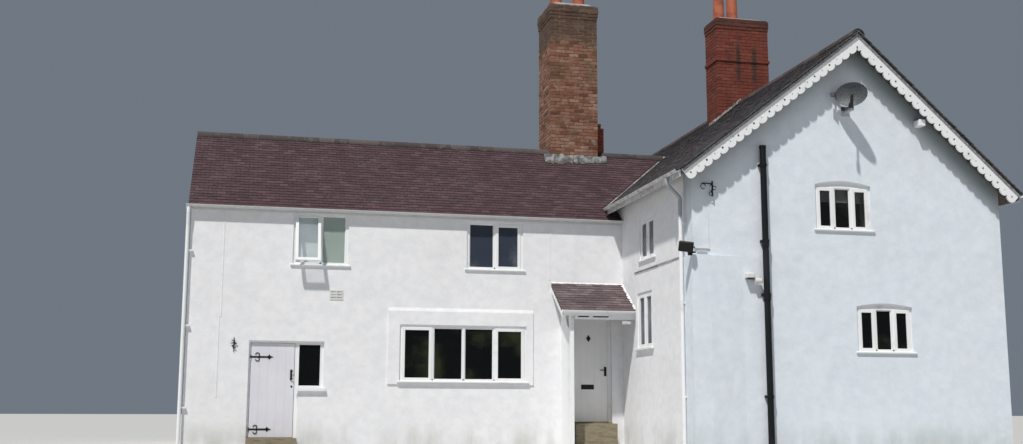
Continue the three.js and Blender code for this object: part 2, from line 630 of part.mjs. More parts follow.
function pipes() {
  const { radius, standoff, clip } = DOWNPIPE;
  const overlap = NECK_DROPS[4] - 20;
  const down = (outlet, [x, y], rim) => [
    upright(x, y, 0, rim - overlap, radius), swanNeck(outlet, [x, y], rim, radius - 1),
  ];
  const gutterReach = EAVES_BOARD + GUTTER_RADIUS;
  const { x } = LEFT_PIPE;
  const leftRim = rimBelow(rangeTop(-RANGE_EAVE)) - GUTTER_RADIUS;
  const leftClips = LEFT_PIPE.clips.map((z) => box(x - 20, 60, 10 - standoff, -SEAT, z, z + clip));
  const leftPipe = down([x, -RANGE_EAVE - gutterReach], [x, -standoff], leftRim);
  piece("downpipe_left", join(...leftPipe, ...leftClips), "gutter");

  // The corner pipe stands on the return wall, on the proud lower storey
  const cornerY = -WING_FORWARD + CORNER_PIPE.fromCorner;
  const face = RANGE_LENGTH - LEDGE.proud;
  const cornerX = face - CORNER_PIPE.standoff;
  const cornerRim = rimBelow(wingTop(RANGE_LENGTH - LEFT_EAVE)) - GUTTER_RADIUS;
  const cornerPipe = down([RANGE_LENGTH - LEFT_EAVE - gutterReach, cornerY], [cornerX, cornerY], cornerRim);
  const bracket = (z, reach) => box(cornerX, reach - SEAT, cornerY - clip, cornerY + clip, z, z + clip);
  const lowClips = CORNER_PIPE.lowClips.map((z) => bracket(z, face));
  const highClip = bracket(CORNER_PIPE.highClip, RANGE_LENGTH);
  piece("downpipe_corner", join(...cornerPipe, ...lowClips, highClip), "gutter");

  const soilX = RANGE_LENGTH + SOIL_PIPE.fromCorner;
  const soilY = -WING_FORWARD - SOIL_PIPE.standoff;
  const soil = join(
    upright(soilX, soilY, 0, SOIL_PIPE.top, SOIL_PIPE.radius),
    ...SOIL_CLIPS.map((z) => box(soilX - 70, soilX + 70, soilY, -WING_FORWARD - SEAT, z, z + 45)),
    ...SOIL_COLLARS.map((z) => upright(soilX, soilY, z, z + 110, SOIL_PIPE.radius + 9)),
  );
  piece("soil_pipe", soil, "iron");
}

// Chimneys

// A stack with its corbelled cap, standing on the hall floor
function stack({ left, right, front, back, top, corbel, courses }) {
  const grown = (reach, z0, z1) => box(left - reach, right + reach, front - reach, back + reach, z0, z1);
  const solids = [grown(0, FRONT_SILL + SEAT, top)];
  for (let i = 0; i < courses; i += 1) {
    const reach = corbel * (i === courses - 1 ? 0.6 : (i + 1) / courses);
    const z = top - COURSE * (courses - i) - CAP_DEPTH;
    solids.push(grown(reach, z, z + COURSE));
  }
  return { solids, grown };
}

function chimneyPot(x, y, z, height, radius) {
  const foot = [[0, -20], [radius, -20]];
  const body = POT_OUTLINE.map(([r, h]) => [r * radius, h * height]);
  const profile = [...foot, ...body].map(([r, h]) => new THREE.Vector2(r, h));
  return new THREE.LatheGeometry(profile, 14).rotateX(Math.PI / 2).translate(x, y, z);
}

// A box whose top is drawn in on each side
function tapered(x0, x1, y0, y1, z0, z1, slope) {
  const block = box(x0, x1, y0, y1, z0, z1);
  const { array } = block.attributes.position;
  for (let i = 0; i < array.length; i += 3) {
    if (array[i + 2] > (z0 + z1) / 2) {
      array[i] += array[i] > (x0 + x1) / 2 ? -slope : slope;
      array[i + 1] += array[i + 1] > (y0 + y1) / 2 ? -slope : slope;
    }
  }
  return block;
}

// Mortar flaunching sloped up to the pots that it holds
function flaunching({ left, right, front, back, top }, { offsets, radius, height, bed }, rise) {
  const edges = [left + FLAUNCH_INSET, right - FLAUNCH_INSET, front + FLAUNCH_INSET, back - FLAUNCH_INSET];
  const middle = (front + back) / 2;
  const pots = offsets.map((offset) => chimneyPot(left + offset, middle, top + bed, height, radius));
  const base = box(...edges, top + SEAT, top + 15);
  return join(base, tapered(...edges, top + 10, top + 10 + rise, FLAUNCH_SLOPE), ...pots);
}

function chimneys() {
  const main = stack(RANGE_STACK).solids;
  const { right, front, back } = RANGE_STACK;
  const depth = [front + SHOULDER_INSET, back - SHOULDER_INSET];
  for (const [out, top] of SHOULDERS) {
    main.push(box(right - 10, right + out, ...depth, SHOULDER_BASE, top));
  }
  piece("main_chimney", join(...main), "weatheredBrick");
  piece("main_chimney_pots", flaunching(RANGE_STACK, RANGE_POTS, 90), "pot");
  const wing = stack(WING_STACK);
  const band = wing.grown(WING_BAND.proud, WING_BAND.height, WING_BAND.height + WING_BAND.thickness);
  piece("wing_chimney", join(...wing.solids, band), "redBrick");
  piece("wing_chimney_pots", flaunching(WING_STACK, WING_POTS, 60), "pot");
}

// Doors, with their frames and steps

// The two halves of the hinges on a leaf's edge; side is 1 where the leaf opens towards the back
function hinges(x, y, heights, side) {
  const { radius, height, plate } = HINGE;
  const inner = y - side * radius / 2;
  const half = (x0, x1, face, z0, z1) => [
    upright(x, y, z0, z1, radius), box(x0, x1, Math.min(inner, face), Math.max(inner, face), z0, z1),
  ];
  const fixed = (face) => heights.flatMap((z) => half(x - plate, x, face - side, z, z + height));
  const turning = (face) => heights.flatMap((z) =>
    half(x, x + plate, face - side, z + height + SEAT, z + 2 * height));
  return { fixed, turning };
}

function sideDoor() {
  const { left, bottom, head, member, depth } = SIDE_FRAME;
  const { setback, thickness } = SIDE_LEAF;
  const leafLeft = left + SIDE_LEAF.left;
  const leafHead = head - member - LEAF_GAP;
  const front = setback + 5;
  const inside = SIDE_POST_RIGHT - SEAT;
  const shape = [
    [left + SEAT, bottom + SEAT], [left + member, bottom + SEAT], [left + member, head - member],
    [SIDE_POST_LEFT, head - member], [SIDE_POST_LEFT, bottom + SEAT], [inside, bottom + SEAT],
    [inside, SIDE_LIGHT.sill + SEAT], [SIDE_RIGHT - SEAT, SIDE_LIGHT.sill + SEAT],
    [SIDE_RIGHT - SEAT, head - SEAT], [left + SEAT, head - SEAT],
  ];
  const { sill } = SIDE_LIGHT;
  const low = sill + SIDE_LIGHT.base;
  const high = head - SIDE_LIGHT.member;
  const edge = SIDE_RIGHT - SIDE_LIGHT.member;
  const hole = box(SIDE_POST_RIGHT, edge, 0, WALL, low, high);
  const frame = cut(alongY(shape, front, front + depth), hole);
  const { rebate } = PANE;
  const paneY = front + 18;
  const pane = box(SIDE_POST_RIGHT - rebate, edge + rebate, paneY, paneY + PANE.thickness,
    low - rebate, high + rebate);
  const sillTop = sill + SILL.above;
  const tongue = box(SIDE_POST_RIGHT, SIDE_RIGHT - SEAT, -SILL.reach, front + KEY, sill + SEAT, sillTop);
  const noseRight = SIDE_RIGHT + SILL.horn;
  const nosing = box(SIDE_POST_LEFT + 10, noseRight, -SILL.reach, -SEAT, sill - SILL.below, sillTop);
  const { fixed, turning } = hinges(left + member + HINGE.offset, setback - HINGE.radius, SIDE_HINGES, -1);
  piece("side_door_frame", join(frame, pane, tongue, nosing, ...fixed(front)), "paintedWood");

  const leafRight = leafLeft + SIDE_LEAF.width;
  const leaf = box(leafLeft, leafRight, setback, setback + thickness, bottom + FLOOR_GAP, leafHead);
  piece("side_door", join(leaf, ...turning(setback)), "paintedWood");
  piece("side_door_step", box(left, SIDE_POST_RIGHT, -SIDE_STEP, WALL - FLOOR_GAP, 0, bottom), "stone");
}

function frontDoor() {
  const { left, head, member } = FRONT_FRAME;
  const { setback, thickness } = FRONT_LEAF;
  const back = setback + thickness;
  const hingeSide = left + member;
  const lockSide = FRONT_RIGHT - member;
  const clearHead = head - member;
  const shape = [
    [left + SEAT, FRONT_SILL + SEAT], [hingeSide, FRONT_SILL + SEAT], [hingeSide, clearHead],
    [lockSide, clearHead], [lockSide, FRONT_SILL + SEAT], [FRONT_RIGHT - SEAT, FRONT_SILL + SEAT],
    [FRONT_RIGHT - SEAT, head - SEAT], [left + SEAT, head - SEAT],
  ];
  const { fixed, turning } = hinges(hingeSide + HINGE.offset, back + HINGE.radius, FRONT_HINGES, 1);
  const frame = alongY(shape, setback - 20, back - 5);
  piece("front_door_frame", join(frame, ...fixed(back - 5)), "paintedWood");
  const leaf = box(hingeSide + LEAF_GAP, lockSide - LOCK_GAP, setback, back,
    FRONT_SILL + FLOOR_GAP, clearHead - LEAF_GAP);
  piece("front_door", join(leaf, ...turning(back)), "paintedWood");
  const { depth, drop, inset } = FRONT_STEP;
  const threshold = box(left + SEAT, FRONT_RIGHT - SEAT, -KEY, WALL - SEAT, 0, FRONT_SILL);
  const step = box(left + inset, FRONT_RIGHT, -depth, -SEAT, 0, FRONT_SILL - drop);
  piece("front_door_step", join(step, threshold), "stone");
}

// Porch: a lean-to roof from the wall over the front door to the return wall

function porch() {
  const { left, front, wallTop, pitch, thickness } = PORCH;
  const top = (y) => wallTop + y * pitch;
  const right = RANGE_LENGTH - SEAT;
  const slab = [
    [-front, top(-front) - thickness], [-SEAT, top(0) - thickness], [-SEAT, top(0)], [-front, top(-front)],
  ];
  piece("porch_roof", alongX(slab, left, right), "rangeTile");

  const boardTop = Math.floor(top(-front)) - PORCH_FASCIA.drop;
  const face = -front - PORCH_FASCIA.thickness;
  const end = right - 5;
  const fascia = box(left, end, face, -front - SEAT, boardTop - PORCH_FASCIA.depth, boardTop);
  const under = (y) => top(y) - thickness - 2 * SEAT;
  const sloped = (from, depth, x0, x1) => alongX([
    [from, under(from) - depth], [-SEAT, under(0) - depth], [-SEAT, under(0)], [from, under(from)],
  ], x0, x1);
  const rafterRight = left + PORCH_RAFTER.thickness;
  const rafter = sloped(-front - 10, PORCH_RAFTER.depth, left, rafterRight);
  const bowl = gutterSection(boardTop - 10).bowl.map(([u, v]) => [u + EAVES_BOARD + face + 1, v]);
  piece("porch_boards", join(fascia, rafter, alongX(bowl, left - 15, end)), "paintedWood");

  const postFront = -POST.front;
  const postBack = postFront + POST.size;
  const postRight = POST.left + POST.size;
  const postTop = Math.floor(under(postFront)) - 1;
  const post = box(POST.left, postRight, postFront, postBack, 0, postTop);
  const plate = sloped(postBack - 5, PORCH_PLATE, POST.left, postRight);
  const rail = box(rafterRight + SEAT, postRight, postFront, postBack, postTop - PORCH_RAIL, postTop);
  const screenFront = postBack - 5;
  const inPlate = (y) => under(y) - PORCH_PLATE / 2;
  const rise = inPlate(screenFront + SCREEN.sweep) - SCREEN.low;
  const edge = [[-SEAT, inPlate(0)], [-SEAT, 0], [screenFront, 0]];
  const steps = 8;
  for (let i = 0; i <= steps; i += 1) {
    const angle = (Math.PI / 2) * (i / steps);
    edge.push([screenFront + SCREEN.sweep * Math.sin(angle), SCREEN.low + rise * (1 - Math.cos(angle))]);
  }
  const screenLeft = POST.left + SCREEN.inset;
  const screen = alongX(edge, screenLeft, screenLeft + SCREEN.thickness);
  piece("porch_post", join(post, rail, plate, screen), "paintedWood");
}

// Windows: each is a frame with its lights, closed by its panes

function windowUnit(size, lights, options = {}) {
  const { left, width, bottom, height } = size;
  const { setback = WINDOW.setback, sill = true, proud = 0, openLights = 0 } = options;
  const { member, bar, depth } = WINDOW;
  const clear = width - 2 * member - bar * (lights - 1);
  const low = bottom + member;
  const high = bottom + height - member;
  const panes = [];
  for (let i = 0; i < lights; i += 1) {
    const from = left + member + i * (clear / lights + bar);
    panes.push([from, from + clear / lights]);
  }
  const holes = panes.map(([from, to]) => box(from, to, low, high, -WALL, WALL));
  const solids = [cut(extrude(opening(size, -SEAT), depth).translate(0, 0, -setback - depth), ...holes)];
  const { rebate, thickness } = PANE;
  const back = -setback - (depth + thickness) / 2;
  for (const [from, to] of panes.slice(openLights)) {
    solids.push(box(from - rebate, to + rebate, low - rebate, high + rebate, back, back + thickness));
  }
  if (sill) {
    const top = bottom + SILL.above;
    const front = proud + SILL.reach;
    solids.push(box(left + SEAT, left + width - SEAT, bottom + SEAT, top, -setback - 10, front));
    solids.push(box(left - SILL.horn, left + width + SILL.horn, bottom - SILL.below, top, proud + SEAT, front));
  }
  return { solids, panes };
}

function windows() {
  const make = (name, size, lights, parent, options) =>
    piece(name, join(...windowUnit(size, lights, options).solids), "paintedWood", parent);
  make("upper_right_window", WINDOWS.upperRight, 2, frontFace);
  make("lower_window", WINDOWS.lower, 4, frontFace, { setback: 40, proud: SURROUND.proud });
  make("return_upper_window", WINDOWS.returnUpper, 2, returnFace);
  make("return_lower_window", WINDOWS.returnLower, 2, returnFace, { setback: 15, sill: false });
  make("gable_upper_window", WINDOWS.gableUpper, 3, gableFace, { setback: 40 });
  make("gable_lower_window", WINDOWS.gableLower, 3, gableFace, { setback: 40 });

  // The left light of this one is a top-hung sash that stands open
  const size = WINDOWS.upperLeft;
  const { solids, panes } = windowUnit(size, 2, { openLights: 1 });
  const { lap, swing, member, back, front } = SASH;
  const [left, right] = [panes[0][0] - lap, panes[0][1] + lap];
  const drop = size.height - 2 * WINDOW.member + lap;
  const [glassLeft, glassRight] = [left + member, right - member];
  const hole = box(glassLeft, glassRight, member - drop, lap - member, -MARGIN, MARGIN);
  const { rebate, thickness } = PANE;
  const glass = box(glassLeft - rebate, glassRight + rebate, member - drop - rebate, lap - member + rebate,
    0, thickness);
  const leaf = join(cut(box(left, right, -drop, lap, back, front), hole), glass);
  leaf.rotateX(-swing).translate(0, size.bottom + size.height - WINDOW.member, -WINDOW.setback);
  piece("upper_left_window", join(...solids, leaf), "paintedWood", frontFace);
}

// One sheet of glass a storey behind the openings of each plain side
function glassSheets() {
  const { lap, thickness } = GLASS_SHEET;
  const sheet = (name, left, right, bottom, height, face) => {
    const top = bottom + height + lap;
    const glass = box(left - lap, right + lap, bottom - lap, top, -WALL - thickness, -WALL - SEAT);
    piece(name, glass, "glass", face);
  };
  for (const [name, row, face] of [["rear", REAR_WINDOWS, rearFace], ["right", RIGHT_WINDOWS, rightFace]]) {
    const last = row.lefts[row.lefts.length - 1] + row.width;
    sheet(`${name}_glass_lower`, row.lefts[0], last, row.lower, row.height, face);
    sheet(`${name}_glass_upper`, row.lefts[0], last, row.upper, row.height, face);
  }
  const { left, width, bottom, height } = REAR_GABLE_WINDOW;
  sheet("rear_gable_glass", left, left + width, bottom, height, rearGableFace);
}

// A shallow mesh dish held off the gable by a bracket; its feed stands on an arm at the left rim
function satelliteDish() {
  const { u, height, standoff, rim, bowl, skin, squash, arm: reach } = DISH;
  const steps = 6;
  const inner = [];
  const outer = [];
  for (let i = 0; i <= steps; i += 1) {
    const r = (rim * i) / steps;
    const h = bowl * (r / rim) ** 2;
    outer.push(new THREE.Vector2(r, h - skin));
    inner.push(new THREE.Vector2(r, h));
  }
  const dish = new THREE.LatheGeometry([...outer, ...inner.reverse()], 20).rotateX(Math.PI / 2);
  dish.scale(1, squash, 1);
  const arm = join(box(-reach, 20, 8, 36, -44, -4), box(-reach, 26 - reach, 8, 36, -44, 120));
  const feed = box(-reach - 20, 60 - reach, -14, 54, 100, 180);
  const head = join(dish, arm, feed).rotateX(DISH_TILT).rotateY(DISH_TURN).translate(u, height, standoff);
  const mast = { left: u - 30, right: u + 30, foot: height - 270 };
  const bracket = join(
    box(mast.left, mast.right, mast.foot, mast.foot + 60, SEAT, 230),
    box(mast.left, mast.right, mast.foot, height, 190, 252),
    box(u - 80, u + 80, mast.foot - 60, mast.foot + 120, SEAT, 12),
  );
  piece("satellite_dish", join(head, bracket), "iron", gableFace);
}

frontWalls();
partyWall();
rearWall();
returnWall();
gableWalls();
wingSideWalls();
floors();
rangeRoof();
wingRoof();
ridges();
bargeboards();
gutters();
pipes();
chimneys();
sideDoor();
frontDoor();
porch();
windows();
glassSheets();
satelliteDish();

// The part's origin is the middle of its base
const ORIGIN_X = 7370.5;
const ORIGIN_Y = 1221.5;
model.position.set(-ORIGIN_X, -ORIGIN_Y, 0);

export default house;
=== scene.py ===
import math
import random

import bmesh
import bpy
from mathutils import Matrix, Vector


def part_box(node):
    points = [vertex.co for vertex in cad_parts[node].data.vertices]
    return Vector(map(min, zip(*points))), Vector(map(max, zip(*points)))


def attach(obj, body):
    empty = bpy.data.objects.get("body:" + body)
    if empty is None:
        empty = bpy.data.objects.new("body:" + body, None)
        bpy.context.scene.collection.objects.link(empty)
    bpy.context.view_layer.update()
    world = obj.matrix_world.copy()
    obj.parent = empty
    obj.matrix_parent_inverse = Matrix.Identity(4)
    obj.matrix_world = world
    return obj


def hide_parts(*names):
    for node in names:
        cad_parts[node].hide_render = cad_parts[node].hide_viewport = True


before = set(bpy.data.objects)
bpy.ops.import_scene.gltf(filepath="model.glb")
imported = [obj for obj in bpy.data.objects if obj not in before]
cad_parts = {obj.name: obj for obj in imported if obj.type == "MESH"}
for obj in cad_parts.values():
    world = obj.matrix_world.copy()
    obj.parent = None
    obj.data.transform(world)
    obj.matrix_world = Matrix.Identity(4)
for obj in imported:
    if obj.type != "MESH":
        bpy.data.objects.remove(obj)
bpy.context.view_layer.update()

# Walls
# Rubble masonry under lime render that has been limewashed white many times, so its face is soft and uneven.
# The walls stand on the ground and carry the floors and the roofs; the solids keep their own shape.


class Wire:
    """A shader value or colour on its way from one node to the next."""

    def __init__(self, finish, socket):
        self.finish = finish
        self.socket = socket

    def maths(self, operation, first, second):
        return self.finish.node("ShaderNodeMath", {"operation": operation}, {0: first, 1: second})

    def __add__(self, other):
        return self.maths("ADD", self, other)

    def __radd__(self, other):
        return self.maths("ADD", other, self)

    def __sub__(self, other):
        return self.maths("SUBTRACT", self, other)

    def __rsub__(self, other):
        return self.maths("SUBTRACT", other, self)

    def __mul__(self, other):
        return self.maths("MULTIPLY", self, other)

    def __rmul__(self, other):
        return self.maths("MULTIPLY", other, self)

    def __abs__(self):
        return self.finish.node("ShaderNodeMath", {"operation": "ABSOLUTE"}, {0: self})


class Finish:
    """A material: one principled shader, painted by what its nodes work out from the place on the house."""

    def __init__(self, name, roughness, **constants):
        self.material = bpy.data.materials.new(name)
        self.material.use_nodes = True
        self.tree = self.material.node_tree
        self.shader = self.tree.nodes["Principled BSDF"]
        self.noises = {}
        self.set("Roughness", roughness)
        for socket, value in constants.items():
            self.set(socket.replace("_", " ").title().replace("Ior", "IOR"), value)
        self.place = self.node("ShaderNodeTexCoord", out="Object")

    def link(self, value, socket):
        if isinstance(value, Wire):
            self.tree.links.new(value.socket, socket)
        elif isinstance(value, tuple) and socket.type == "RGBA":
            socket.default_value = (*value, 1)
        else:
            socket.default_value = value

    def set(self, socket, value):
        self.link(value, self.shader.inputs[socket])

    def node(self, kind, settings=(), sockets=(), out=0):
        made = self.tree.nodes.new(kind)
        for name, value in dict(settings).items():
            if name == "stops":
                ramp = made.color_ramp.elements
                while len(ramp) < len(value):
                    ramp.new(1)
                for element, (position, colour) in zip(ramp, value):
                    element.position = position
                    element.color = (*colour, 1)
            else:
                setattr(made, name, value)
        for name, value in dict(sockets).items():
            self.link(value, made.inputs[name])
        return Wire(self, made.outputs[out])

    def noise(self, scale, detail=3, stretch=(1, 1, 1)):
        """Clouds of one size, squeezed along each axis by its own amount. The same clouds share a node."""
        key = (scale, detail, stretch)
        if key not in self.noises:
            place = self.node("ShaderNodeMapping", {}, {"Vector": self.place, "Scale": stretch})
            sockets = {"Vector": place, "Scale": scale, "Detail": detail, "Roughness": 0.55}
            self.noises[key] = self.node("ShaderNodeTexNoise", {}, sockets)
        return self.noises[key]

    def cells(self, scale):
        return self.node("ShaderNodeTexVoronoi", {}, {"Vector": self.place, "Scale": scale}, "Distance")

    def axis(self, letter):
        return self.node("ShaderNodeSeparateXYZ", {}, {"Vector": self.place}, letter)

    def between(self, value, low, high):
        """0 below the low value, 1 above the high one, with a soft step from one to the other."""
        sockets = {"Value": value, "From Min": low, "From Max": high}
        return self.node("ShaderNodeMapRange", {"interpolation_type": "SMOOTHSTEP"}, sockets)

    def mix(self, first, second, factor):
        sockets = {0: factor, 6: first, 7: second}
        return self.node("ShaderNodeMix", {"data_type": "RGBA"}, sockets, out=2)

    def over(self, under, colour, value, low, high, strength=1.0):
        """Lays a colour where a value rises from low to high."""
        return self.mix(under, colour, self.between(value, low, high) * strength)

    def ramp(self, value, *stops):
        return self.node("ShaderNodeValToRGB", {"stops": stops}, {"Fac": value})

    def tone(self):
        """The shade that a tile or brick was given when it was made."""
        return self.node("ShaderNodeAttribute", {"attribute_name": "tone"}, out="Fac")

    def relief(self, height):
        """Raises the surface by a height in metres."""
        self.set("Normal", self.node("ShaderNodeBump", {}, {"Height": height, "Distance": 1.0}))

    def on(self, *nodes):
        for name in nodes:
            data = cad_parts[name].data
            data.materials.clear()
            data.materials.append(self.material)


def limewash(name, cast, verges=()):
    """Limewash on soft render. The cast is the share of red, green and blue that it throws back.

    A verge is an edge that grime and painted shade run down from: where it meets the ridge, its pitch and
    how strong it is.
    """
    wash = Finish(name, 0.92)
    white, bright, worn, bare, moss = (tuple(part * share for part, share in zip(shade, cast)) for shade in (
        (0.80, 0.81, 0.84), (0.87, 0.87, 0.885), (0.70, 0.71, 0.74), (0.76, 0.75, 0.74), (0.42, 0.44, 0.38)))
    trowel = wash.noise(7, 4)
    streaks = wash.noise(2.6, 5, (1, 1, 0.16))
    clouds = wash.noise(0.7, 4)
    height = wash.axis("Z")
    coats = wash.over(white, bright, trowel, 0.3, 0.7)
    coats = wash.over(coats, worn, streaks, 0.56, 0.78, 0.24)
    coats = wash.over(coats, bare, clouds, 0.52, 0.72, 0.28)
    damp = (1 - wash.between(height, 0.05, 0.55)) * wash.between(streaks + clouds, 0.75, 1.25)
    coats = wash.mix(coats, moss, damp * 0.55)
    # Darker below each verge: grime, and painted shade under the boards
    for ridge, pitch, strength in verges:
        below = ridge.z - (wash.axis("X") - ridge.x) * pitch - height
        coats = wash.mix(coats, (0.17, 0.20, 0.21), (1 - wash.between(below, 0.30, 0.85)) * strength)
    wash.set("Base Color", coats)
    wash.relief(wash.noise(1.1, 2) * 0.030 + trowel * 0.006 + wash.noise(70, 3) * 0.0012)
    return wash


wash = limewash("limewash", (1, 1, 1))
wash.on("front_wall_left", "front_wall_middle", "front_wall_right", "wall_over_side_door",
        "wall_over_front_door", "front_wall_upper", "party_wall", "rear_wall", "return_wall",
        "rear_gable_wall", "wing_right_wall", "wing_rear_left_wall")

# Lines of the house that later pieces are set out from
LEFT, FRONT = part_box("front_wall_left")[0].xy
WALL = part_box("party_wall")[1].x - LEFT
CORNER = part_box("front_wall_right")[1].x
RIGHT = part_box("wing_right_wall")[1].x
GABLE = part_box("wing_right_wall")[0].y - WALL
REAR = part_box("rear_wall")[1].y
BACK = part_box("wing_right_wall")[1].y + WALL


def elevation(x, y, quarters):
    """A wall's own directions: X to the right as seen from outside, Y into the wall, Z up."""
    return Matrix.Translation((x, y, 0)) @ Matrix.Rotation(quarters * math.pi / 2, 4, "Z")


front_face = elevation(LEFT, FRONT, 0)
return_face = elevation(CORNER, FRONT, -1)
gable_face = elevation(CORNER, GABLE, 0)
right_face = elevation(RIGHT, GABLE + WALL, 1)
rear_face = elevation(CORNER, REAR, 2)
rear_gable_face = elevation(RIGHT, BACK, 2)


SHARP_ANGLE = 0.7


def block(bm, low, high, soft=0.0, turn=Matrix()):
    """A squared piece between two corners, with its edges eased."""
    low, high = Vector(low), Vector(high)
    place = turn @ Matrix.Translation((low + high) / 2) @ Matrix.Diagonal((*(high - low), 1))
    corners = bmesh.ops.create_cube(bm, size=1, matrix=place)["verts"]
    if soft:
        edges = list(dict.fromkeys(edge for corner in corners for edge in corner.link_edges))
        bmesh.ops.bevel(bm, geom=edges, offset=soft, segments=1, affect="EDGES", profile=0.5, material=-1)


def blocks(bm, face, *rows):
    """Squared pieces in one wall's directions, each by its two corners and the easing of its edges."""
    for low, high, soft in rows:
        block(bm, low, high, soft, face)


def finished(bm, name, finish, body="house", stands_for=(), place=Matrix(), rounded=False):
    """Turns a shaped mesh into a piece that rides on its body."""
    bmesh.ops.transform(bm, matrix=place, verts=bm.verts)
    bmesh.ops.recalc_face_normals(bm, faces=bm.faces)
    mesh = bpy.data.meshes.new(name)
    bm.to_mesh(mesh)
    bm.free()
    mesh.materials.append(finish.material)
    if rounded:
        mesh.shade_smooth()
        mesh.set_sharp_from_angle(angle=SHARP_ANGLE)
    piece = bpy.data.objects.new(name, mesh)
    bpy.context.scene.collection.objects.link(piece)
    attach(piece, body)
    if stands_for:
        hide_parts(*stands_for)


def squared(name, finish, slot, face, *rows):
    """A piece made of squared parts alone."""
    bm = bmesh.new()
    blocks(bm, face, *rows)
    finished(bm, name, finish)


# Floors and steps
# The ground floors are worn stone flags, the upper floor is of wide boards, and each door has a stone step.
# Flags are bedded on the ground, boards are nailed to the joists, and the steps carry the door frames.


def laid(finish, width, row, joint, *colours):
    """Flags or boards laid in rows: their colour, and where their joints are."""
    sockets = {"Vector": finish.place, "Scale": 1.0, "Mortar Size": joint, "Brick Width": width,
               "Row Height": row, **dict(zip(("Color1", "Color2", "Mortar"), colours))}
    return [finish.node("ShaderNodeTexBrick", {}, sockets, out) for out in ("Color", "Fac")]


def flags():
    stone = Finish("stone_flags", 0.8)
    flag, joint = laid(stone, 0.62, 0.45, 0.008, (0.34, 0.32, 0.28), (0.27, 0.26, 0.24), (0.12, 0.11, 0.10))
    wear = stone.noise(5, 6)
    stone.set("Base Color", stone.over(flag, (0.42, 0.39, 0.33), wear, 0.45, 0.75, 0.5))
    stone.set("Roughness", 0.55 + stone.noise(12) * 0.5)
    stone.relief(wear * 0.004 - joint * 0.004)
    return stone


def boards():
    deal = Finish("floor_boards", 0.5)
    board, joint = laid(deal, 3.2, 0.19, 0.003, (0.24, 0.14, 0.075), (0.33, 0.21, 0.12), (0.03, 0.02, 0.012))
    grain = deal.noise(14, 6, (0.12, 2.2, 1))
    deal.set("Base Color", deal.over(board, (0.13, 0.075, 0.04), grain, 0.5, 0.7, 0.6))
    deal.relief(grain * 0.0008 - joint * 0.003)
    return deal


def sandstone():
    stone = Finish("sandstone", 0.88)
    beds = stone.noise(3, 5, (1, 1, 5))
    worn = stone.ramp(
        beds, (0.3, (0.17, 0.135, 0.085)), (0.52, (0.27, 0.23, 0.155)), (0.75, (0.14, 0.12, 0.085)))
    stone.set("Base Color", stone.over(worn, (0.10, 0.10, 0.06), stone.noise(9, 5), 0.55, 0.7, 0.5))
    stone.relief(beds * 0.006 + stone.noise(120, 2) * 0.0012)
    return stone


flags().on("kitchen_floor", "hall_floor")
boards().on("upper_floor")
sandstone().on("side_door_step", "front_door_step")

# Roof slopes
# Plain clay tiles hang on battens in courses that break joint, each lying on the heads of the course below.
# The main range has plum-brown tiles and the wing darker grey-brown ones; the slabs are rafters and battens.

RANGE_PITCH = 0.81
LEFT_PITCH = 0.778
RIGHT_PITCH = 0.904
PORCH_PITCH = 0.70
GAUGE = 0.108
PORCH_GAUGE = 0.095
TILE_WIDTH = 0.168
TILE_THICKNESS = 0.012
TILE_LAP = 0.03
TILE_JOINT = 0.004
TILE_LIFT = 0.003
TILE_TWIST = 0.012
LEAST_TILE = 0.035
EAVE_OVERHANG = 0.04
VALLEY_GUTTER = 0.038
VALLEY_TRIM = 0.2
UNDER_EAVE = 0.17
FRONT_LAP = 0.088
REAR_LAP = 0.028

range_eave, range_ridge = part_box("main_roof_front")
wing_eave, wing_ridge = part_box("wing_roof_left")
porch_low, porch_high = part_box("porch_roof")
wing_right_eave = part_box("wing_roof_right")[1].x
range_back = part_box("main_roof_rear")[1].y
# The gable's wash darkens under both verges, with grime and painted shade
grime_and_shade_verges = ((wing_ridge, -LEFT_PITCH, 0.42), (wing_ridge, RIGHT_PITCH, 0.75))
cool_wash = limewash("cool_limewash", (0.88, 0.94, 0.985), grime_and_shade_verges)
cool_wash.on("gable_wall")


def coated(name, roughness, ground, layers, bumps, sheen=None, **constants):
    """A finish laid on in layers.

    The ground is a colour, or the stops of a ramp over the tones of its tiles. A layer is its colour, noise
    and strength, and the two values between which it sets in; without them it follows the noise. A bump is a
    noise and its height, and a sheen is a noise, the least roughness and what the noise adds to it.
    """
    finish = Finish(name, roughness, **constants)
    if isinstance(ground, list):
        ground = finish.ramp(finish.tone(), *ground)
    for colour, noise, strength, *edges in layers:
        spread = finish.noise(*noise)
        mask = finish.between(spread, *edges) if edges else spread
        ground = finish.mix(ground, colour, mask * strength)
    finish.set("Base Color", ground)
    if sheen:
        noise, least, gain = sheen
        finish.set("Roughness", least + finish.noise(*noise) * gain)
    finish.relief(sum(finish.noise(*noise) * height for noise, height in bumps))
    return finish


def slope_frame(eave_point, across, pitch):
    """A roof slope's own directions: X along the eave, Y up the slope, Z out of it."""
    uphill = Vector((0, 0, 1)).cross(Vector(across))
    up = (uphill + Vector((0, 0, pitch))).normalized()
    out = Vector(across).cross(up)
    turn = Matrix((across, up, out)).transposed().to_4x4()
    return Matrix.Translation(eave_point) @ turn


def toned_mesh():
    bm = bmesh.new()
    bm.faces.layers.float.new("tone")
    return bm


def give_tone(bm, known, tone):
    """Gives one tone to the faces made since a number of them was known."""
    shade = bm.faces.layers.float["tone"]
    bm.faces.ensure_lookup_table()
    for face in bm.faces[known:]:
        face[shade] = tone


def join(bm, part):
    """Adds a part that was shaped on its own."""
    mesh = bpy.data.meshes.new("part")
    part.to_mesh(mesh)
    part.free()
    bm.from_mesh(mesh)
    bpy.data.meshes.remove(mesh)


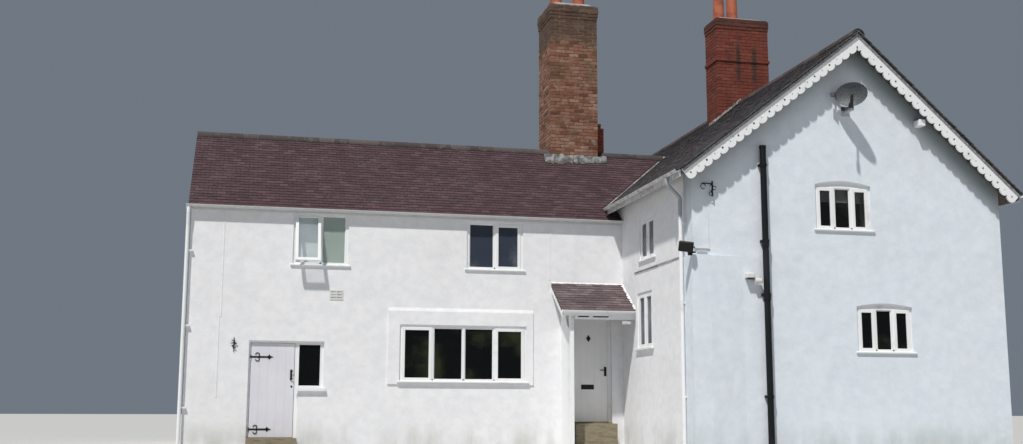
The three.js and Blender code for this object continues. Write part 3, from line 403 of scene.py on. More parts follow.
def tiled(bm, slope, length, spans, cuts=(), holes=(), gauge=GAUGE):
    """Lays courses up a slope. A course's spans are where it runs; cuts are planes that trim its ends."""
    count = round((length + EAVE_OVERHANG) / gauge)
    step = (length + EAVE_OVERHANG) / count
    lean = Matrix.Rotation(-math.atan2(TILE_THICKNESS, step + TILE_LAP), 4, "X")
    for row in range(count):
        course = toned_mesh()
        tail = row * step - EAVE_OVERHANG
        shift = TILE_WIDTH * (row % 2) / 2
        for start, end in spans(max(tail, 0)):
            first = math.floor((start - shift) / TILE_WIDTH)
            for column in range(first, math.ceil((end - shift) / TILE_WIDTH)):
                left = max(start, column * TILE_WIDTH + shift)
                right = min(end, (column + 1) * TILE_WIDTH + shift)
                middle = slope @ Vector(((left + right) / 2, tail + step / 2, 0))
                inside = any(x0 < middle.x < x1 and y0 < middle.y < y1 for x0, x1, y0, y1 in holes)
                lift = chance.uniform(0.0, TILE_LIFT)
                twist = chance.uniform(-TILE_TWIST, TILE_TWIST)
                tone = chance.random()
                if right - left < LEAST_TILE or inside:
                    continue
                place = Matrix.Translation(((left + right) / 2, tail, TILE_THICKNESS + lift))
                lie = slope @ place @ lean @ Matrix.Rotation(twist, 4, "Z")
                half = (right - left) / 2 - TILE_JOINT / 2
                known = len(course.faces)
                block(course, (-half, 0, 0), (half, step + TILE_LAP, TILE_THICKNESS), turn=lie)
                give_tone(course, known, tone)
        for point, outward in cuts:
            everything = [*course.verts, *course.edges, *course.faces]
            trimmed = bmesh.ops.bisect_plane(
                course, geom=everything, plane_co=point, plane_no=outward, clear_outer=True)
            open_edges = [edge for edge in course.edges if edge.is_boundary]
            if trimmed["geom_cut"]:
                bmesh.ops.holes_fill(course, edges=open_edges, sides=0)
        join(bm, course)


def tile_finish(name, lichen, moss, *shades):
    """Clay tiles in five shades, worn and spotted with lichen in its colour and moss in its own."""
    clay = Finish(name, 0.85)
    weather = clay.noise(1.3, 6)
    fine = clay.noise(26, 5)
    worn = clay.ramp(clay.tone(), *zip([0.0, 0.25, 0.55, 0.8, 1.0], shades))
    worn = clay.over(worn, lichen, fine + weather * 0.6, 0.86, 1.02, 0.5)
    spots = 1 - clay.between(clay.cells(11), 0.10, 0.22)
    lichened = clay.mix(worn, lichen, spots * clay.between(clay.noise(3, 3), 0.55, 0.62) * 0.8)
    clay.set("Base Color", clay.over(lichened, moss, weather, 0.58, 0.75, 0.45))
    clay.set("Roughness", 0.72 + fine * 0.3)
    clay.relief(fine * 0.003 + clay.noise(160, 2) * 0.0008)
    return clay


chance = random.Random(41)
SAWN = (11, 5, (0.4, 2.0, 2.0))
boarding = coated(
    "roof_boarding", 0.9, (0.10, 0.085, 0.07), [((0.19, 0.16, 0.13), SAWN, 1, 0.35, 0.7)], [(SAWN, 0.002)])
boarding.on("main_roof_front", "main_roof_rear", "porch_roof", "wing_roof_left", "wing_roof_right")

plum_tiles = tile_finish(
    "plum_tiles", (0.140, 0.112, 0.108), (0.034, 0.026, 0.024), (0.044, 0.021, 0.026), (0.053, 0.026, 0.032),
    (0.060, 0.029, 0.036), (0.069, 0.034, 0.042), (0.088, 0.049, 0.058))
grey_tiles = tile_finish(
    "grey_tiles", (0.165, 0.158, 0.145), (0.034, 0.034, 0.026), (0.052, 0.048, 0.052), (0.073, 0.068, 0.073),
    (0.092, 0.086, 0.093), (0.109, 0.102, 0.109), (0.148, 0.141, 0.142))
mauve_tiles = tile_finish(
    "mauve_tiles", (0.220, 0.210, 0.205), (0.055, 0.052, 0.046), (0.080, 0.054, 0.059),
    (0.096, 0.067, 0.072), (0.112, 0.079, 0.084), (0.130, 0.095, 0.099), (0.165, 0.130, 0.131))


def range_top(y):
    return range_ridge.z - abs(y - range_ridge.y) * RANGE_PITCH


def wing_top(x):
    return wing_ridge.z - (wing_ridge.x - x) * LEFT_PITCH


def valley_x(y):
    """Where the wing's left slope meets the main range's roof."""
    return wing_ridge.x - (wing_ridge.z - range_top(y)) / LEFT_PITCH


def shaft(node, reach, width, depth):
    """The left, right, front and back faces of a stack below its corbels."""
    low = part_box(node)[0]
    return low.x + reach, low.x + reach + width, low.y + reach, low.y + reach + depth


RANGE_SHAFT = (1.075, 1.080)
WING_SHAFT = (1.220, 0.650)
RANGE_REACH = 0.03375
WING_REACH = 0.022
range_stack = shaft("main_chimney", RANGE_REACH, *RANGE_SHAFT)
wing_stack = shaft("wing_chimney", WING_REACH, *WING_SHAFT)

VALLEY_SKEW = RANGE_PITCH / LEFT_PITCH
range_length = (range_ridge.y - range_eave.y) * math.hypot(1, RANGE_PITCH)
wing_length = (wing_ridge.x - wing_eave.x) * math.hypot(1, LEFT_PITCH)
right_length = (wing_right_eave - wing_ridge.x) * math.hypot(1, RIGHT_PITCH)
wing_run = wing_ridge.y - wing_eave.y
# The valleys start under the wing's left eave, where the main roof runs on below it to the return wall
valley_foot = range_ridge.y - (range_ridge.z - wing_top(wing_eave.x)) / RANGE_PITCH


def range_course(up, beside_valley):
    """How long a course of the main roof is, if it lies beside the valley, or else if it lies below it."""
    y = range_eave.y + up / math.hypot(1, RANGE_PITCH)
    if beside_valley != (y >= valley_foot):
        return []
    if y < valley_foot:
        end = CORNER if y < valley_foot - UNDER_EAVE else wing_eave.x
    else:
        end = valley_x(y) + VALLEY_TRIM
    return [end - range_eave.x]


def wing_course(up):
    """A course of the wing's left slope, behind the main range's ridge and in front of it."""
    x = wing_eave.x + up / math.hypot(1, LEFT_PITCH)
    half = max(0, (valley_x(range_ridge.y) - x) / VALLEY_SKEW - VALLEY_TRIM)
    middle = wing_ridge.y - range_ridge.y
    return (-REAR_LAP, middle - half), (middle + half, wing_run + FRONT_LAP)


def valley_cut(side, gutter):
    """A plumb plane beside a valley; side is -1 in front of the ridge and 1 behind it."""
    outward = Vector((1, side * VALLEY_SKEW, 0)).normalized()
    return Vector((valley_x(range_ridge.y), range_ridge.y, 0)) + outward * gutter, outward


def range_tiles(name, corner, side):
    """A slope of the main range; the rear one is counted from the wing's end."""
    slope = slope_frame(corner, (-side, 0, 0), RANGE_PITCH)
    whole = CORNER - range_eave.x
    span = (lambda run: (0.0, run)) if side < 0 else (lambda run: (whole - run, whole))
    bm = toned_mesh()
    for beside, cuts, holes in ((False, (), ()), (True, [valley_cut(side, -VALLEY_GUTTER)], [range_stack])):
        tiled(bm, slope, range_length, lambda up: [span(run) for run in range_course(up, beside)],
              cuts, holes)
    finished(bm, name, plum_tiles)


range_tiles("main_front_tiles", (range_eave.x, range_eave.y, range_top(range_eave.y)), -1)
range_tiles("main_rear_tiles", (CORNER, range_back, range_top(range_back)), 1)

left_slope = slope_frame((wing_eave.x, wing_ridge.y, wing_top(wing_eave.x)), (0, -1, 0), LEFT_PITCH)
for part, name, side in ((0, "wing_left_tiles_rear", 1), (1, "wing_left_tiles_front", -1)):
    bm = toned_mesh()
    point, outward = valley_cut(side, VALLEY_GUTTER)
    tiled(bm, left_slope, wing_length, lambda up: [wing_course(up)[part]], [(point, -outward)], [wing_stack])
    finished(bm, name, grey_tiles)

bm = toned_mesh()
right_eave_z = wing_ridge.z - (wing_right_eave - wing_ridge.x) * RIGHT_PITCH
right_slope = slope_frame((wing_right_eave, wing_eave.y, right_eave_z), (0, 1, 0), RIGHT_PITCH)
tiled(bm, right_slope, right_length, lambda up: [(-FRONT_LAP, wing_run + REAR_LAP)], holes=[wing_stack])
finished(bm, "wing_right_tiles", grey_tiles)

bm = toned_mesh()
porch_depth = porch_high.y - porch_low.y
porch_eave = (porch_low.x, porch_low.y, porch_high.z - porch_depth * PORCH_PITCH)
porch_slope = slope_frame(porch_eave, (1, 0, 0), PORCH_PITCH)
porch_span = (-0.01, porch_high.x - porch_low.x)
tiled(bm, porch_slope, porch_depth * math.hypot(1, PORCH_PITCH), lambda up: [porch_span], gauge=PORCH_GAUGE)
finished(bm, "porch_tiles", mauve_tiles)

# Ridge tiles and valleys
# Half-round clay tiles are bedded in mortar along both ridges, butted end to end with pointed joints.
# Each valley is a strip of lead dressed over the boarding and under the tiles of both slopes.

RIDGE_TILE = 0.31
RIDGE_JOINT = 0.008
RIDGE_RADIUS = 0.124
RIDGE_SKIN = 0.014
RIDGE_SINK = 0.055
RIDGE_SAG = (-0.004, 0.003)
VALLEY_OVERLAP = 0.05
LEAD_CLEAR = 0.004
LEAD = 0.003

mortar = coated("lime_mortar", 0.95, (0.29, 0.26, 0.23), [
    ((0.42, 0.39, 0.35), (4, 4), 1, 0.35, 0.65), ((0.15, 0.14, 0.12), (60, 4), 0.7, 0.55, 0.75)],
    [((60, 4), 0.003), ((4, 4), 0.006)])
lead = coated("sheet_lead", 0.55, (0.16, 0.155, 0.15), [((0.34, 0.335, 0.32), (5, 5), 1, 0.35, 0.65)],
              [((5, 5), 0.006)], ((5, 5), 0.45, 0.3), metallic=0.15)
ridge_shades = [(0.0, (0.045, 0.032, 0.033)), (0.5, (0.062, 0.047, 0.048)), (1.0, (0.090, 0.073, 0.072))]
ridge_clay = coated("ridge_clay", 0.85, ridge_shades, [((0.130, 0.120, 0.110), (6, 6), 0.6, 0.55, 0.72)],
                    [((6, 6), 0.004), ((90, 2), 0.0008)])
mortar.on("main_ridge_left", "main_ridge_right", "wing_ridge_front", "wing_ridge_rear")


def ridge_tiles(bm, start, end):
    """A row of half-round tiles from one point to another, each a little out of line."""
    run = Vector(end) - Vector(start)
    count = max(1, round(run.length / RIDGE_TILE))
    along = run.normalized()
    side = along.cross(Vector((0, 0, 1)))
    for number in range(count):
        tile = toned_mesh()
        near = Vector(start) + run * (number / count) + along * RIDGE_JOINT / 2
        far = Vector(start) + run * ((number + 1) / count) - along * RIDGE_JOINT / 2
        sag = Vector((0, 0, chance.uniform(*RIDGE_SAG)))
        edge = [tile.verts.new(near + side * RIDGE_RADIUS + sag), tile.verts.new(far + side * RIDGE_RADIUS)]
        rim = tile.edges.new(edge)
        bmesh.ops.spin(tile, geom=[*edge, rim], cent=near, axis=-along, angle=math.pi, steps=12)
        bmesh.ops.recalc_face_normals(tile, faces=tile.faces)
        bmesh.ops.solidify(tile, geom=list(tile.faces), thickness=RIDGE_SKIN)
        give_tone(tile, 0, chance.random())
        join(bm, tile)


bm = toned_mesh()
crest = (range_ridge.y, range_ridge.z - RIDGE_SINK)
meet = valley_x(range_ridge.y) - VALLEY_OVERLAP
for start, end in ((range_eave.x, range_stack[0]), (range_stack[1], meet)):
    ridge_tiles(bm, (start, *crest), (end, *crest))
finished(bm, "main_ridge_tiles", ridge_clay, rounded=True)

bm = toned_mesh()
crest_z = wing_ridge.z - RIDGE_SINK
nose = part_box("wing_ridge_front")[0].y - FRONT_LAP / 2
for start, end in ((nose, wing_stack[2]), (wing_stack[3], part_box("wing_ridge_rear")[1].y)):
    ridge_tiles(bm, (wing_ridge.x, start, crest_z), (wing_ridge.x, end, crest_z))
finished(bm, "wing_ridge_tiles", ridge_clay, rounded=True)

# Lead in front of the main ridge, and behind it
for name, side in (("front_valley_lead", -1), ("rear_valley_lead", 1)):
    bm = bmesh.new()
    foot_y = range_ridge.y + side * (range_ridge.y - valley_foot)
    wide = 2 * VALLEY_GUTTER
    section = ((-wide, 0, LEAD_CLEAR), (0, 0, LEAD_CLEAR), (wide, 0, wide * LEFT_PITCH + LEAD_CLEAR))
    foot, head = [
        [bm.verts.new(Vector((valley_x(y), y, range_top(y))) + Vector(step)) for step in section]
        for y in (foot_y, range_ridge.y)]
    for column in (0, 1):
        bm.faces.new((foot[column], foot[column + 1], head[column + 1], head[column]))
    bmesh.ops.subdivide_edges(bm, edges=list(bm.edges), cuts=6, use_grid_fill=True)
    bmesh.ops.recalc_face_normals(bm, faces=bm.faces)
    bmesh.ops.solidify(bm, geom=list(bm.faces), thickness=LEAD)
    finished(bm, name, lead)

# Chimneys
# The main stack is of old brown brick with a corbelled cap and a stepped shoulder, the wing's of harder red
# brick with a band and a moulded cap. Bricks are laid 75 mm a course, with their corners bonded in turn.

COURSE = 0.075
BRICK_LENGTH = 0.215
BRICK_DEPTH = 0.1025
JOINT = 0.010
BRICK_EDGE = 0.004
BRICK_PUSH = (-0.0025, 0.0015)
BRICK_SLIP = 0.0015
PROUD = 0.004
CAP_DEPTH = 0.030
CORBEL_LAST = 0.6
SHOWN_BELOW_RIDGE = 0.62
BROWN_CORBEL = 0.045
RED_CORBEL = 0.030
BAND_LEVEL = 8.35
BAND_REACH = 0.022


def bricks(bm, sides, low, high, reach_at):
    """Lays the four faces of a stack between two levels; reach_at gives how far a course stands out."""
    left, right, front, back = sides
    deep = BRICK_DEPTH
    for row in range(round((high - low) / COURSE)):
        course = toned_mesh()
        z = low + row * COURSE
        reach = reach_at(z) + PROUD
        x0, x1, y0, y1 = left - reach, right + reach, front - reach, back + reach
        # Front and back faces run through in even courses, side faces in odd ones
        trims = (0, deep + JOINT) if row % 2 == 0 else (deep + JOINT, 0)
        runs = []
        for y in (y0, y1 - deep):
            runs.append((x0 + trims[0], x1 - trims[0], lambda a, b, y=y: ((a, y), (b, y + deep))))
        for x in (x0, x1 - deep):
            runs.append((y0 + trims[1], y1 - trims[1], lambda a, b, x=x: ((x, a), (x + deep, b))))
        for start, end, corners in runs:
            count = max(1, round((end - start + JOINT) / (BRICK_LENGTH + JOINT)))
            step = (end - start + JOINT) / count
            for number in range(count):
                first = start + number * step
                (ax, ay), (bx, by) = corners(first, first + step - JOINT)
                push = chance.uniform(*BRICK_PUSH)
                slip = Vector((push if bx > right else -push if ax < left else 0,
                               push if by > back else -push if ay < front else 0,
                               chance.uniform(-BRICK_SLIP, BRICK_SLIP)))
                known = len(course.faces)
                low_corner, high_corner = Vector((ax, ay, z + JOINT)), Vector((bx, by, z + COURSE))
                block(course, low_corner + slip, high_corner + slip, BRICK_EDGE)
                give_tone(course, known, chance.random())
        join(bm, course)


def corbelled(top, courses, corbel):
    """How far the courses of a cap stand out, one more step each course and the last drawn back."""
    def reach(z):
        number = courses - round((top - CAP_DEPTH - z) / COURSE)
        if number < 0:
            return 0.0
        return corbel * (CORBEL_LAST if number == courses - 1 else (number + 1) / courses)
    return reach


def brick_finish(name, shades, soot, soot_from, stain, pale, drips=()):
    """Brick blackened by smoke from a level up; drips are where rust and soot ran down its front."""
    brick = Finish(name, 0.93)
    burn = brick.noise(16, 5)
    cloud = brick.noise(1.7, 5)
    height = brick.axis("Z")
    coats = brick.ramp(brick.tone(), *zip([0.0, 0.22, 0.45, 0.7, 0.88, 1.0], shades))
    coats = brick.over(coats, shades[0], burn, 0.50, 0.72, 0.65)
    coats = brick.over(coats, pale, brick.noise(5, 5), 0.53, 0.70, 0.55)
    coats = brick.over(coats, stain, cloud, 0.55, 0.70, 0.75)
    coats = brick.over(coats, soot, height + cloud * 0.5, soot_from, soot_from + 0.35, 0.8)
    for x, low, high in drips:
        aside = abs(brick.axis("X") - x) + burn * 0.15
        run = (1 - brick.between(aside, 0.095, 0.150)) * brick.between(height + burn * 0.2, low, low + 0.1)
        coats = brick.mix(coats, soot, run * (1 - brick.between(height, high, high + 0.08)) * 0.95)
    brick.set("Base Color", coats)
    brick.relief(burn * 0.004 + brick.noise(140, 2) * 0.0012)
    return brick


def pointing(name, pale, dark):
    return coated(name, 0.95, pale, [(dark, (4, 5), 1, 0.35, 0.62)], [((60, 4), 0.004)])


brown_shades = [(0.110, 0.045, 0.028), (0.190, 0.076, 0.044), (0.245, 0.104, 0.062), (0.285, 0.132, 0.084),
                (0.260, 0.138, 0.094), (0.370, 0.225, 0.160)]
red_shades = [(0.120, 0.025, 0.015), (0.160, 0.034, 0.020), (0.185, 0.040, 0.023), (0.175, 0.038, 0.022),
              (0.205, 0.048, 0.028), (0.220, 0.058, 0.036)]
# Painted sunlight: the shoulder's red shades are made 2.1 times brighter, as though sun fell on its face
painted_sunlit_red_shades = [tuple(part * 2.1 for part in shade) for shade in red_shades]
brown_soot = (0.070, 0.048, 0.033)
stack_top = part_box("main_chimney")[1].z
wing_stack_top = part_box("wing_chimney")[1].z
rust_drips = ((wing_stack[0] + 0.50, 7.98, 8.72), (wing_stack[0] + 0.88, 7.94, 8.66))
brown_brick = brick_finish(
    "brown_brick", brown_shades, brown_soot, stack_top - 0.80, (0.130, 0.085, 0.040), (0.42, 0.32, 0.25))
red_brick = brick_finish("red_brick", red_shades, (0.045, 0.024, 0.018), wing_stack_top - 0.10,
                         (0.055, 0.020, 0.016), (0.185, 0.058, 0.038), rust_drips)
shoulder_brick = brick_finish(
    "shoulder_brick", painted_sunlit_red_shades, brown_soot, stack_top, (0.200, 0.070, 0.050), (0.40, 0.16, 0.11))
pointing("brown_pointing", (0.260, 0.170, 0.120), (0.110, 0.058, 0.040)).on("main_chimney")
pointing("red_pointing", (0.125, 0.038, 0.026), (0.060, 0.020, 0.015)).on("wing_chimney")


def first_course(top, ridge):
    """The level of the lowest course that shows above the tiles, counted down from the cap."""
    high = top - CAP_DEPTH
    return high - COURSE * math.ceil((high - (ridge.z - SHOWN_BELOW_RIDGE)) / COURSE)


bm = toned_mesh()
start = first_course(stack_top, range_ridge)
bricks(bm, range_stack, start, stack_top - CAP_DEPTH, corbelled(stack_top, 4, BROWN_CORBEL))
finished(bm, "main_stack_bricks", brown_brick)

# The shoulder steps in as it rises: how far each step stands out, and the level of its top
SHOULDER_STEPS = ((0.060, 7.290), (0.176, 7.100), (0.240, 6.995))
SHOULDER_FOOT = 6.47
SHOULDER_DEPTH = 0.42
SHOULDER_ROOT = 0.02
SHOULDER_RISE = 0.003
bm = toned_mesh()
shoulder_front = range_stack[2] + (RANGE_SHAFT[1] - SHOULDER_DEPTH) / 2
bottoms = [*(level for out, level in SHOULDER_STEPS[1:]), SHOULDER_FOOT]
for (out, top), bottom in zip(SHOULDER_STEPS, bottoms):
    sides = (range_stack[1] - SHOULDER_ROOT, range_stack[1] + out,
             shoulder_front, shoulder_front + SHOULDER_DEPTH)
    low = top + SHOULDER_RISE - COURSE * math.ceil((top - bottom) / COURSE)
    bricks(bm, sides, low, top + SHOULDER_RISE, lambda z: 0.0)
finished(bm, "main_shoulder_bricks", shoulder_brick)

bm = toned_mesh()
start = first_course(wing_stack_top, wing_ridge)
band = start + COURSE * round((BAND_LEVEL - start) / COURSE)
wing_cap = corbelled(wing_stack_top, 3, RED_CORBEL)
bricks(bm, wing_stack, start, wing_stack_top - CAP_DEPTH,
       lambda z: BAND_REACH if abs(z - band) < COURSE / 2 else wing_cap(z))
finished(bm, "wing_stack_bricks", red_brick)


def fillet(bm, start, end, across, up, width, height, ragged, steps):
    """Mortar or lead dressed into a corner: a three-sided strip with uneven edges.

    It runs from one point to another; its width is given at both, and ragged is how much its edges waver.
    """
    start, end = Vector(start), Vector(end)
    across, up = Vector(across).normalized(), Vector(up).normalized()
    rows = []
    for number in range(steps + 1):
        part = number / steps
        root = start.lerp(end, part)
        spread = (width[0] + (width[1] - width[0]) * part) * (1 - ragged * chance.random())
        climb = height * (1 - ragged * 0.5 * chance.random())
        rows.append([bm.verts.new(corner) for corner in (root, root + across * spread, root + up * climb)])
    for near, far in zip(rows, rows[1:]):
        for first, second in ((0, 1), (1, 2), (2, 0)):
            bm.faces.new((near[first], near[second], far[second], far[first]))
    bm.faces.new(rows[0])
    bm.faces.new(rows[-1])


TILE_FACE = 0.040
CAP_REACH = 0.029
BEDDING = 0.006
UP = (0, 0, 1)
OUT = (0, -1, 0)
old_mortar = coated("old_mortar", 0.95, (0.10, 0.10, 0.105), [
    ((0.27, 0.27, 0.275), (7, 5), 1, 0.40, 0.60), ((0.09, 0.085, 0.050), (3.1, 5), 0.8, 0.50, 0.62),
    ((0.22, 0.21, 0.20), (55, 4), 0.5, 0.55, 0.75)], [((55, 4), 0.004), ((7, 5), 0.008)])

# A mortar capping round the main stack's head, between its faces and their reach
left, right, front, back = range_stack
bm = bmesh.new()
for low, high in (((left - CAP_REACH, front - CAP_REACH), (right + CAP_REACH, front)),
                  ((left - CAP_REACH, back), (right + CAP_REACH, back + CAP_REACH)),
                  ((left - CAP_REACH, front), (left, back)),
                  ((right, front), (right + CAP_REACH, back))):
    block(bm, (*low, stack_top - CAP_DEPTH + 0.002), (*high, stack_top - 0.001), 0.004)
finished(bm, "main_stack_capping", old_mortar)

bm = bmesh.new()
apron_y = front - PROUD - BEDDING
apron_z = range_top(apron_y) + TILE_FACE
fillet(bm, (left - 0.16, apron_y, apron_z), (right + 0.20, apron_y, apron_z), (0, -1, -RANGE_PITCH), UP,
       (0.30, 0.10), 0.135, 0.65, 26)
finished(bm, "main_stack_apron", old_mortar)

bm = bmesh.new()
line_start, line_y = wing_stack[0] - 0.24, wing_stack[2] - PROUD - BEDDING
fillet(bm, (line_start, line_y, wing_top(line_start) + TILE_FACE),
       (wing_ridge.x - 0.03, line_y, wing_ridge.z + TILE_FACE), OUT, UP, (0.10, 0.06), 0.075, 0.9, 40)
finished(bm, "wing_stack_fillet", old_mortar)

# Chimney pots
# Each stack has two round clay pots with a rolled rim, turned on a wheel and fired without a glaze. They are
# set in sloped mortar flaunching, so that rain runs off.

# Half the section of a pot, from its foot up and in over the rim, in parts of its radius and its height
POT_OUTLINE = ((0.0, -0.02), (1.00, 0.00), (0.97, 0.03), (0.88, 0.72), (0.90, 0.76), (1.02, 0.79),
               (1.05, 0.82), (1.05, 0.87), (1.00, 0.90), (0.92, 0.91), (0.93, 0.98), (0.90, 1.00),
               (0.74, 1.00), (0.70, 0.97), (0.70, 0.30), (0.0, 0.30))
FLAUNCHING_INSET = 0.02
FLAUNCHING_SLOPE = 0.30
FLAUNCHING_EDGE = 0.012

terracotta = coated("terracotta", 0.82, (0.46, 0.135, 0.070), [
    ((0.30, 0.075, 0.042), (5, 6), 1, 0.4, 0.65), ((0.07, 0.05, 0.04), (2.2, 5), 0.7, 0.55, 0.75)],
    [((5, 6), 0.003), ((120, 2), 0.0006)])


def pots(name, node, stack, top, offsets, radius, height, sunk, rise):
    left, right, front, back = stack
    bm = bmesh.new()
    for offset in offsets:
        foot = Vector((left + offset, (front + back) / 2, top + sunk))
        line = [bm.verts.new(foot + Vector((out * radius, 0, up * height))) for out, up in POT_OUTLINE]
        rims = [bm.edges.new(pair) for pair in zip(line, line[1:])]
        bmesh.ops.spin(
            bm, geom=[*line, *rims], cent=foot, axis=(0, 0, 1), angle=math.tau, steps=36, use_merge=True)
    bmesh.ops.remove_doubles(bm, verts=bm.verts, dist=0.0005)
    finished(bm, name, terracotta, stands_for=[node], rounded=True)
    bm = bmesh.new()
    block(bm, (left + FLAUNCHING_INSET, front + FLAUNCHING_INSET, top),
          (right - FLAUNCHING_INSET, back - FLAUNCHING_INSET, top + rise))
    upper = [vert for vert in bm.verts if vert.co.z > top + rise / 2]
    middle = Vector(((left + right) / 2, (front + back) / 2, 0))
    drawn = [1 - FLAUNCHING_SLOPE / (right - left), 1 - FLAUNCHING_SLOPE / (back - front), 1]
    bmesh.ops.scale(bm, vec=drawn, space=Matrix.Translation(-middle), verts=upper)
    bmesh.ops.bevel(bm, geom=list(bm.edges), offset=FLAUNCHING_EDGE, segments=2, affect="EDGES", profile=0.5,
                    material=-1)
    finished(bm, name + "_flaunching", mortar)


pots("main_pots", "main_chimney_pots", range_stack, stack_top, (0.260, 0.800), 0.150, 0.520, 0.060, 0.100)
pots("wing_pots", "wing_chimney_pots", wing_stack, wing_stack_top, (0.200, 0.520), 0.130, 0.820, 0.030,
     0.070)

# Painted joinery
# Bargeboards, porch, doors and windows are of softwood in many coats of white paint, nailed or hung on their
# frames. The scalloped boards close the front gable's verge, with a worn strip planted along their top edge,
# whose grey is also painted shade under the tiles, and dark rafters behind them, near black as painted
# shade, which show through their holes and between the scallops.

VERGE_LEVEL = 0.017

paint = coated(
    "white_paint", 0.42, (0.86, 0.87, 0.88), [((0.60, 0.60, 0.57), (3.5, 6), 0.5, 0.55, 0.74)],
    [((40, 4), 0.0009), ((3.5, 6), 0.0015)], ((3.5, 6), 0.36, 0.22))
# Painted shade: the verge mouldings are grey for weathering and for the shade under the tiles' overhang
weathered_shaded_softwood = coated("weathered_and_shaded_softwood", 0.8, (0.22, 0.22, 0.225),
                       [((0.36, 0.36, 0.37), (18, 5), 1, 0.38, 0.62)], [((18, 5), 0.002)])
# Painted shade: the barge rafters are near black, so the boards' holes and notches read as shade
near_black_shade_timber = coated(
    "near_black_shade_timber", 0.9, (0.022, 0.026, 0.018), [((0.060, 0.058, 0.044), (14, 5), 1)], [((14, 5), 0.002)])
paint.on("bargeboard_left", "bargeboard_right", "rear_bargeboards", "porch_boards", "porch_post",
         "side_door_frame", "front_door_frame")
board_front, board_back = (corner.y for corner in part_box("bargeboard_left"))


def verge_timber(name, side, finish, low, high, soft):
    """A timber down the gable's left verge (side -1) or its right one (side 1).

    Its corners are given down the verge from the ridge, but the high one from the eave; then back, and up.
    """
    pitch, eave = (LEFT_PITCH, wing_eave.x) if side < 0 else (RIGHT_PITCH, wing_right_eave)
    length = abs(wing_ridge.x - eave) * math.hypot(1, pitch)
    bm = bmesh.new()
    block(bm, low, (length + high[0], *high[1:]), soft)
    lean = Matrix.Diagonal((side, 1, 1, 1)) @ Matrix.Rotation(math.atan(pitch), 4, "Y")
    place = Matrix.Translation((wing_ridge.x, 0, wing_ridge.z - VERGE_LEVEL)) @ lean
    finished(bm, name, finish, place=place)


strip = ((0.02, board_front - 0.016, -0.050), (0.0, board_front + 0.004, 0.0), 0.005)
verge_timber("verge_moulding_left", -1, weathered_shaded_softwood, *strip)
verge_timber("verge_moulding_right", 1, weathered_shaded_softwood, *strip)
rafter = ((0.212, board_back + 0.012, -0.212), (-0.16, board_back + 0.075, -0.115), 0.004)
verge_timber("barge_rafter_left", -1, near_black_shade_timber, *rafter)
verge_timber("barge_rafter_right", 1, near_black_shade_timber, *rafter)

# Windows
# Softwood frames stand back in their openings, with sloped sills; some lights are hung casements and the
# others are fixed. The plain sides have windows of the same make. The glass is old; its colours are painted:
# the dark of the rooms behind it, and reflections in brighter patches.

FRAME_MEMBER = 0.055
FRAME_DEPTH = 0.070
FORWARD = 0.035
MULLION = 0.045
CASEMENT = 0.060
CASEMENT_LAP = 0.010
CASEMENT_REBATE = 0.014
FRAME_FOOT = 0.024
FRAME_EDGE = 0.003
BEAD = 0.016
BEAD_REBATE = 0.005
# How far behind the frame's face each lies: a casement and its glass, a bead and the fixed glass
CASEMENT_FACES, HUNG_GLASS = (-0.012, 0.030), 0.010
BEAD_FACES, FIXED_GLASS = (0.014, 0.034), 0.024
SILL_BELOW = 0.020
SILL_ABOVE = 0.016
SILL_HORN = 0.045
SILL_REACH = 0.032
PANE = 0.006
CLEAR = 0.0003
BLIND_EDGE = 0.01
BLIND_WEIGHT = 0.02
BLIND_BEHIND = 0.02


def window_glass(name, painted_room_shade, bright, opacity):
    """Glass with painted colour: its base is the painted dark of the room behind it, and the bright patches
    are painted reflections of what it mirrors.
    """
    pane = coated(name, 0.04, painted_room_shade, [(bright, (1.6, 5), 1, 0.48, 0.70)], [((1.4, 2), 0.004)],
                  ((0.9,), 0.03, 0.05), ior=1.5, specular_ior_level=0.22)
    pane.set("Alpha", opacity + pane.noise(3) * 0.12)
    return pane


# Painted shade and reflections: each glass's first colour stands for what lies behind it and what it mirrors
glass = window_glass("window_glass", (0.004, 0.005, 0.005), (0.028, 0.034, 0.016), 0.82)
slate_glass = window_glass("slate_glass", (0.042, 0.052, 0.074), (0.120, 0.132, 0.160), 0.85)
sky_glass = window_glass("sky_glass", (0.120, 0.135, 0.170), (0.270, 0.280, 0.310), 0.88)
pale_glass = window_glass("pale_glass", (0.44, 0.53, 0.49), (0.52, 0.60, 0.56), 0.50)
dim_glass = window_glass("dim_glass", (0.012, 0.013, 0.013), (0.030, 0.034, 0.026), 0.36)
thin_glass = window_glass("thin_glass", (0.42, 0.50, 0.58), (0.55, 0.62, 0.68), 0.12)
FOLDS = (3, 3, (6, 1, 0.3))
blind_cloth = coated("blind_cloth", 0.9, (0.60, 0.68, 0.65), [((0.74, 0.80, 0.77), FOLDS, 1)],
                     [((300, 2), 0.0004), (FOLDS, 0.004)])


def seen(face, node):
    """A node's lowest and highest corners in a wall's own directions."""
    corners = [face.inverted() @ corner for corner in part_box(node)]
    return [Vector([pick(pair) for pair in zip(*corners)]) for pick in (min, max)]


def opening(face, node, sill=True, rise=0.0, forward=FORWARD):
    """A window's hole: its left, right, bottom and springing, and where the frame's face and back are."""
    low, high = seen(face, node)
    side = SILL_HORN if sill else -CLEAR
    bottom = low.z + (SILL_BELOW if sill else -CLEAR)
    front = high.y - FRAME_DEPTH - forward
    return low.x + side, high.x - side, bottom, high.z + CLEAR - rise, front, high.y


def rim(bm, left, right, bottom, top, front, back, width, soft=0.004):
    """Four members round a light."""
    block(bm, (left, front, bottom), (left + width, back, top), soft)
    block(bm, (right - width, front, bottom), (right, back, top), soft)
    block(bm, (left + width, front, bottom), (right - width, back, bottom + width), soft)
    block(bm, (left + width, front, top - width), (right - width, back, top), soft)


